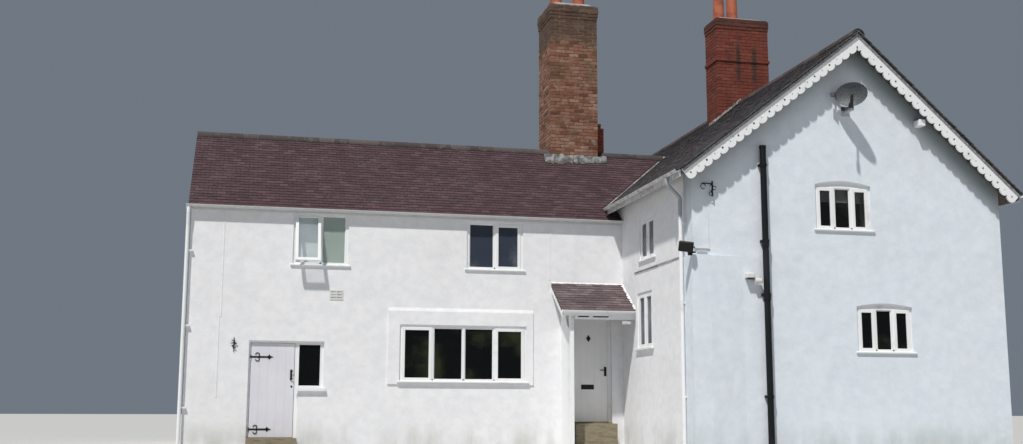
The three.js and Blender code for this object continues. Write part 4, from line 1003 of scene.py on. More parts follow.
def thicken(bm, corners, depth):
    """A flat plate from the corners of its front, drawn back by its depth."""
    front = bm.faces.new([bm.verts.new(corner) for corner in corners])
    grown = bmesh.ops.extrude_face_region(bm, geom=[front])["geom"]
    moved = [part for part in grown if isinstance(part, bmesh.types.BMVert)]
    bmesh.ops.translate(bm, verts=moved, vec=(0, depth, 0))


def arched_head(bm, left, right, springing, rise, front, back):
    """Fills the flat arch above a window's head."""
    half = (right - left) / 2
    radius = (half * half + rise * rise) / (2 * rise)
    spread = math.asin(half / radius)
    steps = 12
    angles = [spread - 2 * spread * number / steps for number in range(steps + 1)]
    crown = springing + rise
    thicken(bm, [(left + half + radius * math.sin(angle), front, crown - radius * (1 - math.cos(angle)))
                 for angle in angles], back - front)


def sill_board(bm, left, right, bottom, front, wall_front):
    """A sloped sill with a rounded nose and a drip, that runs past the opening on both sides."""
    nose = wall_front - SILL_REACH
    low, top = bottom - SILL_BELOW, bottom + SILL_ABOVE
    start, end = left - SILL_HORN, right + SILL_HORN
    block(bm, (left + CLEAR, wall_front + CLEAR, bottom + CLEAR),
          (right - CLEAR, front + 0.02, top + 0.002), 0.003)
    block(bm, (start, nose, low), (end, wall_front - CLEAR, top - 0.004), 0.007)
    block(bm, (start + 0.01, nose + 0.010, low - 0.004), (end - 0.01, nose + 0.022, low), 0.001)


def window(name, face, hole, lights, stands_for, rise=0.0, sill=True, proud=0.0, panes=glass):
    """Frame and glass of one window. Lights are named hung, fixed or open, from left to right."""
    left, right, bottom, top, front, back = hole
    wood, sheets = bmesh.new(), bmesh.new()
    rim(wood, left + CLEAR, right - CLEAR, bottom + CLEAR, top - CLEAR, front, back, FRAME_MEMBER - CLEAR,
        FRAME_EDGE)
    if rise:
        arched_head(wood, left + CLEAR, right - CLEAR, top, rise - CLEAR, front + 0.004, back)
    inner = right - left - 2 * FRAME_MEMBER
    light = (inner - MULLION * (len(lights) - 1)) / len(lights)
    low, high = bottom + FRAME_FOOT, top - FRAME_MEMBER
    for number, kind in enumerate(lights):
        x0 = left + FRAME_MEMBER + number * (light + MULLION)
        x1 = x0 + light
        if number:
            block(wood, (x0 - MULLION, front, low), (x0, back, high), FRAME_EDGE)
        if kind == "hung":
            lap = CASEMENT_LAP
            faces = [front + behind for behind in CASEMENT_FACES]
            rim(wood, x0 - lap, x1 + lap, low - lap, high + lap, *faces, CASEMENT)
            inset, y = CASEMENT - CASEMENT_REBATE, front + HUNG_GLASS
        else:
            rim(wood, x0, x1, low, high, *[front + behind for behind in BEAD_FACES], BEAD)
            inset, y = BEAD - BEAD_REBATE, front + FIXED_GLASS
        if kind != "open":
            block(sheets, (x0 + inset, y, low + inset), (x1 - inset, y + PANE, high - inset))
    if sill:
        sill_board(wood, left, right, bottom, front, -proud)
    finished(wood, name + "_frame", paint, place=face, stands_for=stands_for)
    finished(sheets, name + "_panes", panes, place=face)
    return light, low, high


def blinds(name, face, hole, count, drop):
    """Roller blinds let down behind the lights, each with a weighted hem."""
    left, right, bottom, top, front, back = hole
    cloth = bmesh.new()
    width = (right - left - 2 * FRAME_MEMBER) / count
    y = back + BLIND_BEHIND
    hem = top - FRAME_MEMBER - drop
    for number in range(count):
        start = left + FRAME_MEMBER + number * width + BLIND_EDGE
        end = left + FRAME_MEMBER + (number + 1) * width - BLIND_EDGE
        block(cloth, (start, y, hem), (end, y + 0.003, top - 0.02), 0.001)
        block(cloth, (start, y - 0.004, hem - BLIND_WEIGHT), (end, y + 0.008, hem), 0.002)
    finished(cloth, name, blind_cloth, place=face)


UPPER_ARCH, LOWER_ARCH = 0.075, 0.060
surround = -seen(front_face, "front_wall_middle")[0].y
hole = opening(front_face, "upper_right_window")
window("upper_right", front_face, hole, ("fixed", "hung"), ["upper_right_window"], panes=slate_glass)
hole = opening(front_face, "lower_window")
window("long_lower", front_face, hole, ("hung", "fixed", "fixed", "hung"), ["lower_window"], proud=surround)
hole = opening(return_face, "return_upper_window")
window("return_upper", return_face, hole, ("hung", "hung"), ["return_upper_window"], panes=sky_glass)
hole = opening(return_face, "return_lower_window", sill=False)
window("return_lower", return_face, hole, ("hung", "hung"), ["return_lower_window"], sill=False,
       panes=sky_glass)
for storey, arch, panes in (("upper", UPPER_ARCH, dim_glass), ("lower", LOWER_ARCH, glass)):
    node = f"gable_{storey}_window"
    hole = opening(gable_face, node, rise=arch, forward=0.0)
    window(f"gable_{storey}", gable_face, hole, ("hung", "fixed", "hung"), [node], rise=arch, panes=panes)
    if storey == "upper":
        blinds("gable_upper_blinds", gable_face, hole, 3, 0.22)

# The upper left window has a top-hung sash that stands open over its left light
SASH_LAP, SASH_SWING, SASH_MEMBER, SASH_GLAZING = 0.015, 0.3, 0.058, -0.016
hole = opening(front_face, "upper_left_window")
light, low, high = window(
    "upper_left", front_face, hole, ("open", "fixed"), ["upper_left_window"], panes=pale_glass)
x0 = hole[0] + FRAME_MEMBER - SASH_LAP
x1 = hole[0] + FRAME_MEMBER + light + SASH_LAP
drop = high - low + SASH_LAP
inset = SASH_MEMBER - 0.006
swing = (front_face @ Matrix.Translation((0, hole[4] + FORWARD, high))
         @ Matrix.Rotation(-SASH_SWING, 4, "X"))
sash, pane = bmesh.new(), bmesh.new()
rim(sash, x0, x1, -drop, SASH_LAP, -0.035, 0.005, SASH_MEMBER)
block(pane, (x0 + inset, SASH_GLAZING, inset - drop), (x1 - inset, SASH_GLAZING + PANE, SASH_LAP - inset))
finished(sash, "open_sash", paint, place=swing)
finished(pane, "open_sash_pane", thin_glass, place=swing)
blinds("upper_left_blind", front_face, hole, 2, high - low - 0.02)

# Windows of the plain sides: left edges, width, bottoms and height in each wall's own directions
PLAIN_DEPTHS = (0.060 - FORWARD, 0.060 + FRAME_DEPTH)
REAR_GABLE = (2.45, 3.53, 3.84, 4.70)
for wall, face, lefts, width, bottoms, height in (
        ("rear", rear_face, (1.30, 5.30), 1.10, (1.25, 3.44), 0.96),
        ("right", right_face, (1.50, 6.60), 1.08, (1.45, 3.60), 0.96)):
    for storey, bottom in zip(("lower", "upper"), bottoms):
        for side, left in zip(("first", "second"), lefts):
            hole = (left, left + width, bottom, bottom + height, *PLAIN_DEPTHS)
            window(f"{wall}_{storey}_{side}", face, hole, ("hung", "fixed"), [f"{wall}_glass_{storey}"])
hole = (*REAR_GABLE, *PLAIN_DEPTHS)
window("rear_gable", rear_gable_face, hole, ("hung", "fixed", "hung"), ["rear_gable_glass"])

# Small window beside the side door, a fixed pane in the door's own frame
SIDE_SILL = 1.05
POST_LEFT = 2.004
frame_high = seen(front_face, "side_door_frame")[1]
left, right = POST_LEFT + 0.060, frame_high.x - SILL_HORN - 0.050
low, high = SIDE_SILL + 0.060, frame_high.z - 0.050
bm = bmesh.new()
rim(bm, left, right, low, high, 0.049, 0.068, 0.018, FRAME_EDGE)
finished(bm, "side_light_beads", paint, place=front_face)
bm = bmesh.new()
block(bm, (left + 0.012, 0.058, low + 0.012), (right - 0.012, 0.058 + PANE, high - 0.012))
finished(bm, "side_light_pane", glass, place=front_face)

# Side door
# A ledged door of wide painted boards, hung on two black strap hinges with scrolled roots and arrow tips.
# It has a wrought pull handle and a keyhole plate by the lock post, and opens outwards.

BOARD_GROOVE = 0.001
LEDGE_WIDTH = 0.13
STRAP_THICK = 0.006
ARROW_TIP = ((0.72, 0.0), (0.80, 0.050), (0.86, 0.020), (1.0, 0.0), (0.86, -0.020), (0.80, -0.050))

black_iron = coated(
    "black_iron", 0.55, (0.012, 0.012, 0.013), [((0.060, 0.032, 0.020), (14, 5), 0.5, 0.62, 0.75)],
    [((90, 3), 0.0008)], ((90, 3), 0.42, 0.3), metallic=0.4)


def door_paint(name, shade, worn):
    grain = (30, 5, (1, 1, 0.07))
    bare = tuple(part * 0.8 for part in worn)
    return coated(name, 0.48, shade, [(worn, (1.6, 4), 1, 0.35, 0.7), (bare, grain, 0.4, 0.58, 0.75)],
                  [(grain, 0.0012)])


def ledged_boards(bm, low, high, count, levels, depth):
    """Upright boards that butt with small vees between them, on a thin core, with ledges nailed behind."""
    step = (high[0] - low[0]) / count
    for number in range(count):
        x0, x1 = low[0] + number * step + BOARD_GROOVE / 2, low[0] + (number + 1) * step - BOARD_GROOVE / 2
        block(bm, (x0, low[1], low[2]), (x1, high[1], high[2]), 0.0015)
    block(bm, [edge + 0.004 for edge in low], (high[0] - 0.004, high[1] - 0.006, high[2] - 0.004))
    for level in levels:
        block(bm, (low[0] + 0.03, high[1] - 0.004, level),
              (high[0] - 0.03, high[1] + depth, level + LEDGE_WIDTH), 0.006)


def swept(bm, radius, thick, start, end, centre, steps=14):
    """A bent round bar along X and Z: a disc of metal turned about a centre, at a radius from it.

    It runs from one angle to another, both in half turns.
    """
    start, end = start * math.pi, end * math.pi
    point = Vector((math.cos(start), 0, math.sin(start)))
    turn = Matrix((point, (0, 1, 0), Vector((0, 1, 0)).cross(point))).transposed().to_4x4()
    place = Matrix.Translation(Vector(centre) + point * radius) @ turn
    ring = bmesh.ops.create_circle(bm, cap_ends=True, segments=8, radius=thick, matrix=place)["verts"]
    faces = list(dict.fromkeys(face for vert in ring for face in vert.link_faces))
    edges = list(dict.fromkeys(edge for vert in ring for edge in vert.link_edges))
    bmesh.ops.spin(
        bm, geom=[*ring, *edges, *faces], cent=centre, axis=(0, -1, 0), angle=end - start, steps=steps)


def drum(bm, radius, narrow, depth, place, segments=20):
    """A round bar, boss or pipe along its own Z."""
    bmesh.ops.create_cone(
        bm, cap_ends=True, segments=segments, radius1=radius, radius2=narrow, depth=depth, matrix=place)


def ball(bm, radius, place, around=16, up=10):
    bmesh.ops.create_uvsphere(bm, u_segments=around, v_segments=up, radius=radius, matrix=place)


def strap_hinge(bm, x, z, face, length):
    """A strap with a scrolled root and an arrow tip, lying on a door's face, and its knuckle."""
    front = face - STRAP_THICK
    block(bm, (x, front, z - 0.016), (x + length * 0.80, face, z + 0.016), 0.002)
    thicken(bm, [(x + length * along, front, z + up) for along, up in ARROW_TIP], STRAP_THICK)
    for side in (1, -1):
        centre = (x + length * 0.26, face - 0.005, z + side * 0.040)
        swept(bm, 0.036, 0.008, -side * 0.45, side * 0.95, centre)
    for along in (0.15, 0.50, 0.70):
        ball(bm, 0.008, Matrix.Translation((x + length * along, front, z)), 10, 6)
    drum(bm, 0.011, 0.011, 0.060, Matrix.Translation((x - 0.015, face - 0.008, z)))


def leaf(name, finish, node, left, front, back, count, levels, depth):
    """A door leaf of boards: its left edge, its front, how many boards it has and where its ledges are."""
    low, high = seen(front_face, node)
    bm = bmesh.new()
    ledged_boards(bm, (left, front, low.z), (high.x, back or high.y, high.z), count, levels, depth)
    finished(bm, name, finish, node + "_leaf", [node], front_face)


SIDE_LEAF_LEFT, SIDE_LEAF_FRONT = 1.196, 0.050
HANDLE_X, HANDLE_Z = 1.941, 1.325
lilac = door_paint("side_door_paint", (0.76, 0.75, 0.80), (0.70, 0.70, 0.76))
leaf("side_door_boards", lilac, "side_door", SIDE_LEAF_LEFT, SIDE_LEAF_FRONT, None, 5,
     (0.32, 1.00, 1.62), 0.028)

bm = bmesh.new()
front = SIDE_LEAF_FRONT
for level in (0.320, 1.655):
    strap_hinge(bm, SIDE_LEAF_LEFT + 0.012, level, front, 0.40)
block(bm, (HANDLE_X - 0.018, front - 0.005, HANDLE_Z - 0.100), (HANDLE_X + 0.018, front, HANDLE_Z + 0.100),
      0.003)
for end in (-0.080, 0.080):
    place = Matrix.Translation((HANDLE_X, front - 0.012, HANDLE_Z + end)) @ Matrix.Diagonal((1, 0.7, 1, 1))
    ball(bm, 0.018, place)
swept(bm, 0.085, 0.007, 0.62, 1.38, (HANDLE_X + 0.072, front - 0.030, HANDLE_Z))
for end in (HANDLE_Z - 0.068, HANDLE_Z + 0.068):
    block(bm, (HANDLE_X - 0.006, front - 0.034, end - 0.006), (HANDLE_X + 0.006, front, end + 0.006), 0.002)
place = Matrix.Translation((1.955, front - 0.002, 1.110)) @ Matrix.Rotation(math.pi / 2, 4, "X")
drum(bm, 0.020, 0.018, 0.006, place)
finished(bm, "side_door_ironwork", black_iron, "side_door_leaf", (), front_face, True)

# Front door
# A boarded cottage door painted pale grey in the porch's shade, with a diamond knocker, a latch and a letter
# plate. It hangs on butt hinges at its left and opens inwards.

FRONT_LEAF_LEFT, FRONT_LEAF_FRONT, FRONT_LEAF_BACK = 7.342, 0.100, 0.145
grey_coat = door_paint("front_door_paint", (0.84, 0.84, 0.84), (0.78, 0.78, 0.79))
leaf("front_door_boards", grey_coat, "front_door", FRONT_LEAF_LEFT, FRONT_LEAF_FRONT, FRONT_LEAF_BACK, 6,
     (0.62, 1.30, 2.16), 0.0)

bm = bmesh.new()
front = FRONT_LEAF_FRONT
knocker = Vector((7.775, front - 0.004, 2.105))
diamond = (Matrix.Translation(knocker) @ Matrix.Diagonal((0.052, 0.008, 0.085, 1))
           @ Matrix.Rotation(math.pi / 4, 4, "Y"))
bmesh.ops.create_cube(bm, size=1.2, matrix=diamond)
swept(bm, 0.030, 0.007, 0.75, 2.25, knocker + Vector((0, -0.014, -0.005)), 18)
ball(bm, 0.014, Matrix.Translation(knocker + Vector((0, -0.012, 0.036))), 14, 8)
# The letter plate and its flap, then the latch's plate, stem and lever
blocks(bm, Matrix(), ((7.618, front - 0.008, 1.095), (7.882, front, 1.190), 0.004),
       ((7.642, front - 0.014, 1.112), (7.858, front - 0.006, 1.172), 0.004),
       ((8.095, front - 0.008, 1.360), (8.145, front, 1.545), 0.004),
       ((8.112, front - 0.045, 1.470), (8.130, front, 1.488), 0.004),
       ((8.005, front - 0.050, 1.470), (8.134, front - 0.036, 1.488), 0.005))
finished(bm, "front_door_furniture", black_iron, "front_door_leaf", (), front_face, True)

# Gutters and pipes
# Half-round iron gutters painted white hang from the eaves boards on brackets and drain through two
# downpipes. The paint is blotched with weather. A black soil pipe is clipped to the gable, and the dish
# leans on a strut.

GUTTER_RADIUS = 0.046
GUTTER_END = 0.12
BRACKET_GAP = 0.90
BRACKET_ARC = 0.50
BRACKET_WIDTH, UNION_WIDTH = 0.025, 0.09
IRON_THICK = 0.005


def gutter_paint(name, worn):
    """White gloss; worn says how much of it the weather has taken off."""
    chalk = ((0.36, 0.35, 0.34), (9, 6), worn, 0.42, 0.66)
    dirt = ((0.17, 0.16, 0.15), (30, 4), worn * 0.5, 0.60, 0.80)
    return coated(name, 0.55, (0.62, 0.62, 0.63), [chalk, dirt], [((9, 6), 0.002)], ((9, 6), 0.45, 0.35))


def pipe_paint():
    """White paint, with painted shade on the bend under the eaves."""
    coat = Finish("pipe_paint", 0.45)
    wear = coat.noise(3.5, 6)
    white = coat.over((0.86, 0.87, 0.88), (0.66, 0.66, 0.64), wear, 0.55, 0.74)
    # Painted shade: the bend under the eaves is greyed from 3.95 m up
    coat.set("Base Color", coat.over(white, (0.38, 0.40, 0.43), coat.axis("Z"), 3.95, 4.05))
    coat.relief(wear * 0.0015)
    return coat


def dish_mesh():
    """Grey painted mesh, pale on the plate below it."""
    metal = Finish("dish_mesh", 0.6, metallic=0.2)
    wire = metal.cells(60)
    bloom = metal.noise(5, 4)
    grey = metal.mix((0.085, 0.095, 0.105), (0.150, 0.165, 0.180), bloom)
    meshed = metal.over(grey, (0.030, 0.034, 0.038), wire, 0.35, 0.55, 0.6)
    metal.set("Base Color", metal.over((0.50, 0.52, 0.55), meshed, metal.axis("Z"), 6.00, 6.02))
    metal.relief(bloom * 0.002 - wire * 0.002)
    return metal


gutter_coat = gutter_paint("gutter_paint", 0.15)
worn_and_vent_shade_coat = gutter_paint("worn_gutter_coat_and_vent_shade", 0.9)
DULLING = (3, 5, (1, 1, 0.4))
pipe_and_gap_shade_black = coated(
    "black_coat_and_gap_shade", 0.5, (0.005, 0.006, 0.008), [((0.018, 0.021, 0.026), DULLING, 1, 0.45, 0.75)],
    [(DULLING, 0.002)], (DULLING, 0.45, 0.3), specular_ior_level=0.25)
gutter_coat.on("main_gutter_front", "main_gutter_rear", "wing_gutter_right")
worn_and_vent_shade_coat.on("wing_gutter_left")
paint.on("downpipe_left")
pipe_paint().on("downpipe_corner")
dish_mesh().on("satellite_dish")

strut_lean = Matrix.Rotation(-0.64, 4, "X") @ Matrix.Rotation(0.46, 4, "Y")
strut_top = gable_face @ Matrix.Translation((2.975, -0.270, 6.250)) @ strut_lean
squared("dish_strut", black_iron, "black_metal", strut_top,
        ((-0.014, -0.014, -0.36), (0.014, 0.014, 0.0), 0.004),
        ((-0.026, -0.022, -0.41), (0.026, 0.022, -0.30), 0.008))


def half_band(bm, centre, along, radius, width, thick):
    """A band bent round the underside of a gutter."""
    half = along * width / 2
    side = Matrix.Rotation(BRACKET_ARC, 3, along) @ along.cross(Vector((0, 0, 1)))
    band = bmesh.new()
    ends = [band.verts.new(centre - half + side * radius), band.verts.new(centre + half + side * radius)]
    strip = band.edges.new(ends)
    sweep = math.pi - 2 * BRACKET_ARC
    bmesh.ops.spin(band, geom=[*ends, strip], cent=centre, axis=along, angle=sweep, steps=10)
    bmesh.ops.recalc_face_normals(band, faces=band.faces)
    bmesh.ops.solidify(band, geom=list(band.faces), thickness=-thick)
    join(bm, band)


def gutter_irons(name, node, along, out, coat):
    """Brackets and wider joint bands along a gutter, round its underside."""
    low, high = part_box(node)
    axis = 0 if along[0] else 1
    start, end = low[axis] + GUTTER_END, high[axis] - GUTTER_END
    centre = Vector((0, 0, high.z))
    centre[1 - axis] = (low if out < 0 else high)[1 - axis] - out * GUTTER_RADIUS
    bm = bmesh.new()
    count = round((end - start) / BRACKET_GAP)
    for number in range(count + 1):
        centre[axis] = start + (end - start) * number / count
        width = UNION_WIDTH if number % 2 == 1 else BRACKET_WIDTH
        half_band(bm, centre, Vector(along), GUTTER_RADIUS + 0.0005, width, IRON_THICK)
    finished(bm, name, coat, rounded=True)


gutter_irons("main_front_gutter_irons", "main_gutter_front", (1, 0, 0), -1, gutter_coat)
gutter_irons("main_rear_gutter_irons", "main_gutter_rear", (1, 0, 0), 1, gutter_coat)
gutter_irons("wing_left_gutter_irons", "wing_gutter_left", (0, 1, 0), -1, worn_and_vent_shade_coat)
gutter_irons("wing_right_gutter_irons", "wing_gutter_right", (0, 1, 0), 1, gutter_coat)

soil_low, soil_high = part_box("soil_pipe")
soil_x, soil_y = (soil_low.x + soil_high.x) / 2, GABLE - 0.085
# Radius, foot and top of the pipe, its rolled head, then its sockets with their rims and its clips
rounds = [(0.055, 0.0, soil_high.z), (0.060, soil_high.z - 0.05, soil_high.z)]
for level in (2.56, 3.49):
    rounds += [(0.064, level, level + 0.110), (0.068, level + 0.090, level + 0.112)]
bm = bmesh.new()
for level in (0.90, 2.63, 3.56, 4.90):
    rounds.append((0.066, level, level + 0.045))
    block(bm, (soil_x - 0.070, soil_y + 0.03, level), (soil_x + 0.070, GABLE - CLEAR, level + 0.045), 0.004)
for radius, low, high in rounds:
    drum(bm, radius, radius, high - low, Matrix.Translation((soil_x, soil_y, (low + high) / 2)), 32)
finished(bm, "gable_soil_pipe", pipe_and_gap_shade_black, stands_for=["soil_pipe"], rounded=True)

# Porch trim
# White mortar fillets close the top and the right side of the tiles against the walls. A rail under the
# gutter board stands off it on packings, with a black strip of painted shade in the gaps between them, and
# a bulkhead lamp is screwed below.

PORCH_HEAD = porch_high.z + 0.030
FASCIA_BACK = -0.800
FASCIA_FOOT = 2.483
RAIL_LEFT, RAIL_RIGHT = 7.245, 8.460
GAP_LEFT, GAP_RIGHT = 7.30, 7.92

bm = bmesh.new()
head_y, end_x = FRONT - 0.001, CORNER - 0.001
fillet(bm, (porch_low.x, head_y, PORCH_HEAD), (end_x, head_y, PORCH_HEAD), (0, -1, -PORCH_PITCH), UP,
       (0.030, 0.030), 0.018, 0.8, 40)
porch_foot = PORCH_HEAD - porch_depth * PORCH_PITCH
fillet(bm, (end_x, head_y - 0.001, PORCH_HEAD), (end_x, porch_low.y, porch_foot), (-1, 0, 0), UP,
       (0.045, 0.045), 0.030, 0.95, 32)
finished(bm, "porch_fillets", wash)

# The rail, three packings over it, and a strip that closes the gaps at the back
back, foot = FASCIA_BACK, FASCIA_FOOT
packings = [((left, back - 0.018, foot - 0.027), (right, back + 0.028, foot - 0.0005), 0.001)
            for left, right in ((RAIL_LEFT, GAP_LEFT), (7.520, 7.600), (GAP_RIGHT, RAIL_RIGHT))]
squared("porch_rail", paint, "painted_wood", front_face,
        ((RAIL_LEFT, back - 0.020, foot - 0.062), (RAIL_RIGHT, back + 0.030, foot - 0.026), 0.003),
        *packings,
        ((GAP_LEFT, back + 0.024, foot - 0.027), (GAP_RIGHT, back + 0.028, foot - 0.0005), 0))
# Painted shade: a black strip fills the gaps between the packings
squared("porch_rail_gap_shade", pipe_and_gap_shade_black, "black_metal", front_face,
        ((GAP_LEFT, back + 0.004, foot - 0.026), (GAP_RIGHT, back + 0.022, foot - 0.001), 0))
squared("porch_lamp", worn_and_vent_shade_coat, "painted_wood", front_face,
        ((8.19, back - 0.030, 2.330), (8.37, back + 0.055, 2.404), 0.012),
        ((8.175, back - 0.022, 2.404), (8.385, back + 0.050, foot - 0.063), 0.004))

# Door stops and render lines
# Planed strips are nailed to the frames to stop each leaf: outside the front door, inside the side door.
# Where coats of render meet there is a thin raised line. A sloped fillet sheds rain from the long window's
# surround, and lead from the ledge.

STOP_LAP = 0.010
STOP_OVER = 0.004
STOP_WIDTH = 0.018
FRONT_STOPS = (7.3362, 0.016, 0.081, 0.094)
SIDE_STOPS = (1.1905, 0.0155, 0.102, 0.128)
SURROUND_LEFT, SURROUND_RIGHT, SURROUND_TOP = 3.745, 6.610, 2.570
JOINT_HALF = 0.012
JOINT_PROUD = 0.006
RENDER_JOINTS = ((6.950, 3.235, 4.420), (0.615, 2.40, 4.420), (0.585, 0.90, 2.40))
LEDGE_FOOT, LEDGE_END, LEDGE_WRAP, LEDGE_PROUD = 3.312, 3.36, 0.290, 0.045

bm = bmesh.new()
for node, (left, width, front, back) in (("front_door", FRONT_STOPS), ("side_door", SIDE_STOPS)):
    low, high = seen(front_face, node)
    right, top = high.x + 0.006, high.z + STOP_OVER
    blocks(bm, front_face, ((left, front, low.z), (left + width, back, top), 0.002),
           ((right - STOP_WIDTH, front, low.z), (right, back, top), 0.002),
           ((left, front, high.z - STOP_LAP), (right, back, top), 0.002))
finished(bm, "door_stops", paint)

bm = bmesh.new()
fillet(bm, front_face @ Vector((SURROUND_LEFT, -CLEAR, SURROUND_TOP + CLEAR)),
       front_face @ Vector((SURROUND_RIGHT, -CLEAR, SURROUND_TOP + CLEAR)), OUT, UP, (surround, surround),
       0.070, 0.10, 30)
for x, low, high in RENDER_JOINTS:
    block(bm, (x - JOINT_HALF, -JOINT_PROUD, low), (x + JOINT_HALF, -CLEAR, high), 0.003, front_face)
sill_y = seen(return_face, "return_wall")[0].y
block(bm, (0.990, sill_y - 0.050, 1.815), (1.950, sill_y - CLEAR, 1.862), 0.008, return_face)
finished(bm, "render_trim", wash)

bm = bmesh.new()
foot = gable_face @ Vector((LEDGE_WRAP - CLEAR, 0, 0.0))
head = gable_face @ Vector((LEDGE_WRAP - CLEAR, 0, LEDGE_FOOT))
fillet(bm, foot, head, (1, 0, 0), OUT, (0.62, 0.62), LEDGE_PROUD - CLEAR, 0.02, 20)
finished(bm, "ledge_feathering", cool_wash)

# Grey lead on the ledge's top, partly painted shade: it stands for the shadow line along the ledge
bm = bmesh.new()
fillet(bm, return_face @ Vector((0.930, 0, LEDGE_FOOT)), return_face @ Vector((LEDGE_END, 0, LEDGE_FOOT)),
       (-1, 0, 0), UP, (0.062, 0.056), 0.050, 0.08, 40)
finished(bm, "ledge_lead_and_shade_line", lead)
squared("ledge_cable", lead, "black_metal", return_face,
        ((0.917, -0.062, LEDGE_FOOT + 0.004), (2.200, -0.046, LEDGE_FOOT + 0.020), 0.003),
        ((0.917, -0.012, 2.420), (0.927, -CLEAR, LEDGE_FOOT + 0.020), 0.002))

# Fittings on the walls
# Small things screwed to the render: a floodlight and a lamp for the yard with their conduit, a telephone
# bracket, an air vent, a wall hook, and the end of a roof timber that shows under the right verge.

VENT_LEFT, VENT_RIGHT, VENT_FOOT, VENT_HEAD = 2.619, 2.870, 2.753, 2.938
VENT_ROWS = 3

bm = bmesh.new()
# The floodlight's body, glass and arm, its two brackets, then a shelf and a bar of the yard lamp
lean = (gable_face @ Matrix.Translation((-0.165, -0.110, 3.435)) @ Matrix.Rotation(-0.42, 4, "Z")
        @ Matrix.Rotation(0.14, 4, "Y") @ Matrix.Rotation(0.22, 4, "X"))
blocks(bm, lean, ((-0.125, -0.050, -0.088), (0.125, 0.040, 0.088), 0.012),
       ((-0.112, -0.058, -0.075), (0.112, -0.048, 0.075), 0.004),
       ((-0.012, 0.030, -0.010), (0.150, 0.060, 0.010), 0.003))
blocks(bm, gable_face, ((-0.120, -0.090, 3.335), (0.020, -0.046, 3.360), 0.003),
       ((-0.120, -0.120, 3.290), (-0.050, -0.050, 3.340), 0.010),
       ((0.945, -0.112, 2.916), (1.078, -CLEAR, 2.929), 0.003),
       ((1.205, -0.110, 2.855), (1.217, -0.040, 2.915), 0.003))
finished(bm, "yard_floodlight", black_iron)

plastic = coated(
    "white_plastic", 0.4, (0.78, 0.78, 0.77), [((0.62, 0.62, 0.60), (6, 4), 1)], [((6, 4), 0.0006)])
bm = bmesh.new()
# The vent: a plate's two sides, the bar between its two columns of slots, and the bars across
middle = (VENT_LEFT + VENT_RIGHT) / 2
blocks(bm, front_face, ((VENT_LEFT, -0.010, VENT_FOOT), (VENT_LEFT + 0.022, -CLEAR, VENT_HEAD), 0.002),
       ((VENT_RIGHT - 0.022, -0.010, VENT_FOOT), (VENT_RIGHT, -CLEAR, VENT_HEAD), 0.002),
       ((middle - 0.012, -0.009, VENT_FOOT), (middle + 0.012, -CLEAR, VENT_HEAD), 0.001))
for row in range(VENT_ROWS + 1):
    level = VENT_FOOT + row * (VENT_HEAD - VENT_FOOT - 0.022) / VENT_ROWS
    block(bm, (VENT_LEFT, -0.0095, level), (VENT_RIGHT, -CLEAR, level + 0.024), 0.002, front_face)
# Three lengths of conduit, then the yard lamp's box, drum and foot
blocks(bm, gable_face, ((0.021, -0.022, 3.424), (0.305, -CLEAR, 3.440), 0.003),
       ((0.060, -0.022, 3.372), (0.257, -CLEAR, 3.386), 0.003),
       ((0.291, -0.008, 3.440), (0.301, -CLEAR, 4.065), 0.003),
       ((0.937, -0.115, 2.930), (1.085, -CLEAR, 3.023), 0.015),
       ((1.085, -0.060, 2.900), (1.120, -CLEAR, 2.960), 0.004))
place = gable_face @ Matrix.Translation((1.145, -0.075, 2.885)) @ Matrix.Rotation(math.pi / 2, 4, "Y")
drum(bm, 0.055, 0.045, 0.12, place)
finished(bm, "lamp_vent_and_conduit", plastic)

# Painted shade: a grey sheet behind the vent's slots stands for the dark inside them
squared("vent_slot_shade", worn_and_vent_shade_coat, "gutters", front_face,
        ((2.630, -0.003, 2.762), (2.860, -CLEAR * 2, 2.930), 0))

bm = bmesh.new()
# The wall hook: its stem and crossbar, two staples and two scrolls
blocks(bm, front_face, ((0.868, -0.016, 1.737), (0.880, -0.008, 2.014), 0.002),
       ((0.814, -0.030, 1.894), (0.934, -0.016, 1.908), 0.002),
       ((0.866, -0.016, 1.790), (0.882, -CLEAR, 1.810), 0.002),
       ((0.866, -0.016, 1.960), (0.882, -CLEAR, 1.980), 0.002))
swept(bm, 0.050, 0.008, -0.55, 0.60, front_face @ Vector((0.846, -0.020, 1.905)))
swept(bm, 0.042, 0.008, 0.45, 1.55, front_face @ Vector((0.906, -0.020, 1.850)))
# The telephone bracket: its upright and arm, two feet and three scrolls
upright = gable_face @ Matrix.Translation((0.245, -0.060, 0))
blocks(bm, upright, ((0.100, -0.012, 4.330), (0.124, 0.012, 4.600), 0.003),
       ((-0.080, -0.010, 4.545), (0.120, 0.010, 4.563), 0.003),
       ((0.104, 0.000, 4.420), (0.120, 0.0595, 4.445), 0.002),
       ((0.104, 0.000, 4.530), (0.120, 0.0595, 4.555), 0.002))
for centre, size in (((-0.055, 0, 4.500), 0.045), ((0.150, 0, 4.480), 0.032), ((0.080, 0, 4.375), 0.030)):
    swept(bm, size, 0.007, 0.0, 1.7, upright @ Vector(centre))
finished(bm, "hook_and_telephone_bracket", black_iron)

squared("timber_end", paint, "painted_wood", gable_face,
        ((4.330, -0.190, 5.785), (4.455, -CLEAR, 5.900), 0.006))

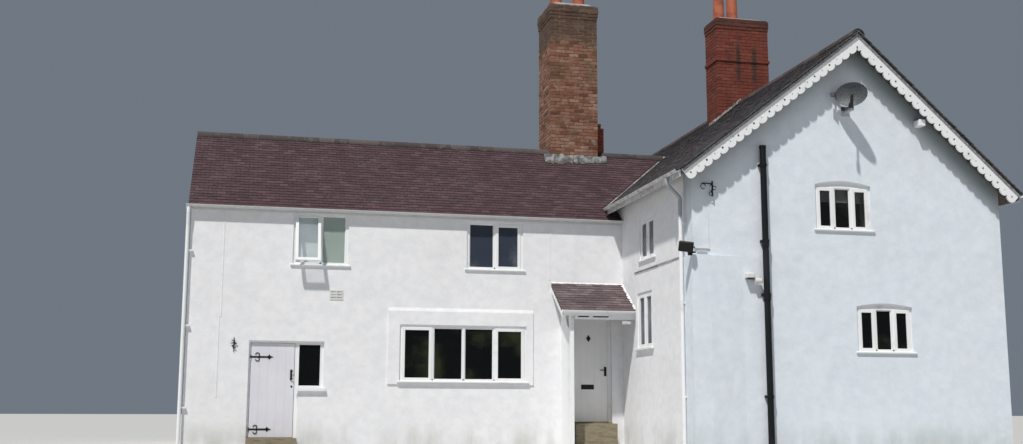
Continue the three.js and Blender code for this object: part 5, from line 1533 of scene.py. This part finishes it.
# Stage
# A plain pale floor under the house, a soft sun from the upper left, a pale sky and the photograph's camera.
# None of it is part of the house.

CAMERA_FROM = (-6.3381, -23.7459, 0.6815)
CAMERA_YAW = 0.224185
CAMERA_PITCH = 0.159164
CAMERA_ROLL = 0.00295762
CAMERA_LENS = 41.279
SENSOR_WIDTH = 36
SUN_STRENGTH = 3.80
SUN_TOWARDS = (0.80, 1.0, -2.2)
SUN_WIDTH = 0.035
SKY_STRENGTH = 0.35
FLOOR_HALF = 150
FLOOR_BELOW = 0.002
FARTHEST = 500


def placed(name, data):
    thing = bpy.data.objects.new(name, data)
    bpy.context.scene.collection.objects.link(thing)
    return thing


bm = bmesh.new()
bmesh.ops.create_grid(
    bm, x_segments=1, y_segments=1, size=FLOOR_HALF, matrix=Matrix.Translation((0, 0, -FLOOR_BELOW)))
floor_mesh = bpy.data.meshes.new("stage_floor")
bm.to_mesh(floor_mesh)
bm.free()
ground = Finish("pale_floor", 0.9)
ground.set("Base Color", (0.50, 0.50, 0.49))
floor_mesh.materials.append(ground.material)
floor = placed("stage_floor", floor_mesh)

sun = bpy.data.lights.new("sun", "SUN")
sun.energy = SUN_STRENGTH
sun.angle = SUN_WIDTH
sun.color = (1.0, 0.97, 0.93)
placed("sun", sun).rotation_euler = Vector(SUN_TOWARDS).to_track_quat("-Z", "Y").to_euler()

scene = bpy.context.scene
scene.world = bpy.data.worlds.new("sky")
scene.world.use_nodes = True
background = scene.world.node_tree.nodes["Background"]
background.inputs["Color"].default_value = (0.46, 0.54, 0.64, 1)
background.inputs["Strength"].default_value = SKY_STRENGTH
scene.view_settings.view_transform = "Standard"

lens = bpy.data.cameras.new("camera")
lens.lens = CAMERA_LENS
lens.sensor_width = SENSOR_WIDTH
lens.clip_end = FARTHEST
scene.camera = placed("camera", lens)
turn = Matrix.Rotation(-CAMERA_YAW, 4, "Z") @ Matrix.Rotation(math.pi / 2 + CAMERA_PITCH, 4, "X")
scene.camera.matrix_world = Matrix.Translation(CAMERA_FROM) @ turn @ Matrix.Rotation(CAMERA_ROLL, 4, "Z")
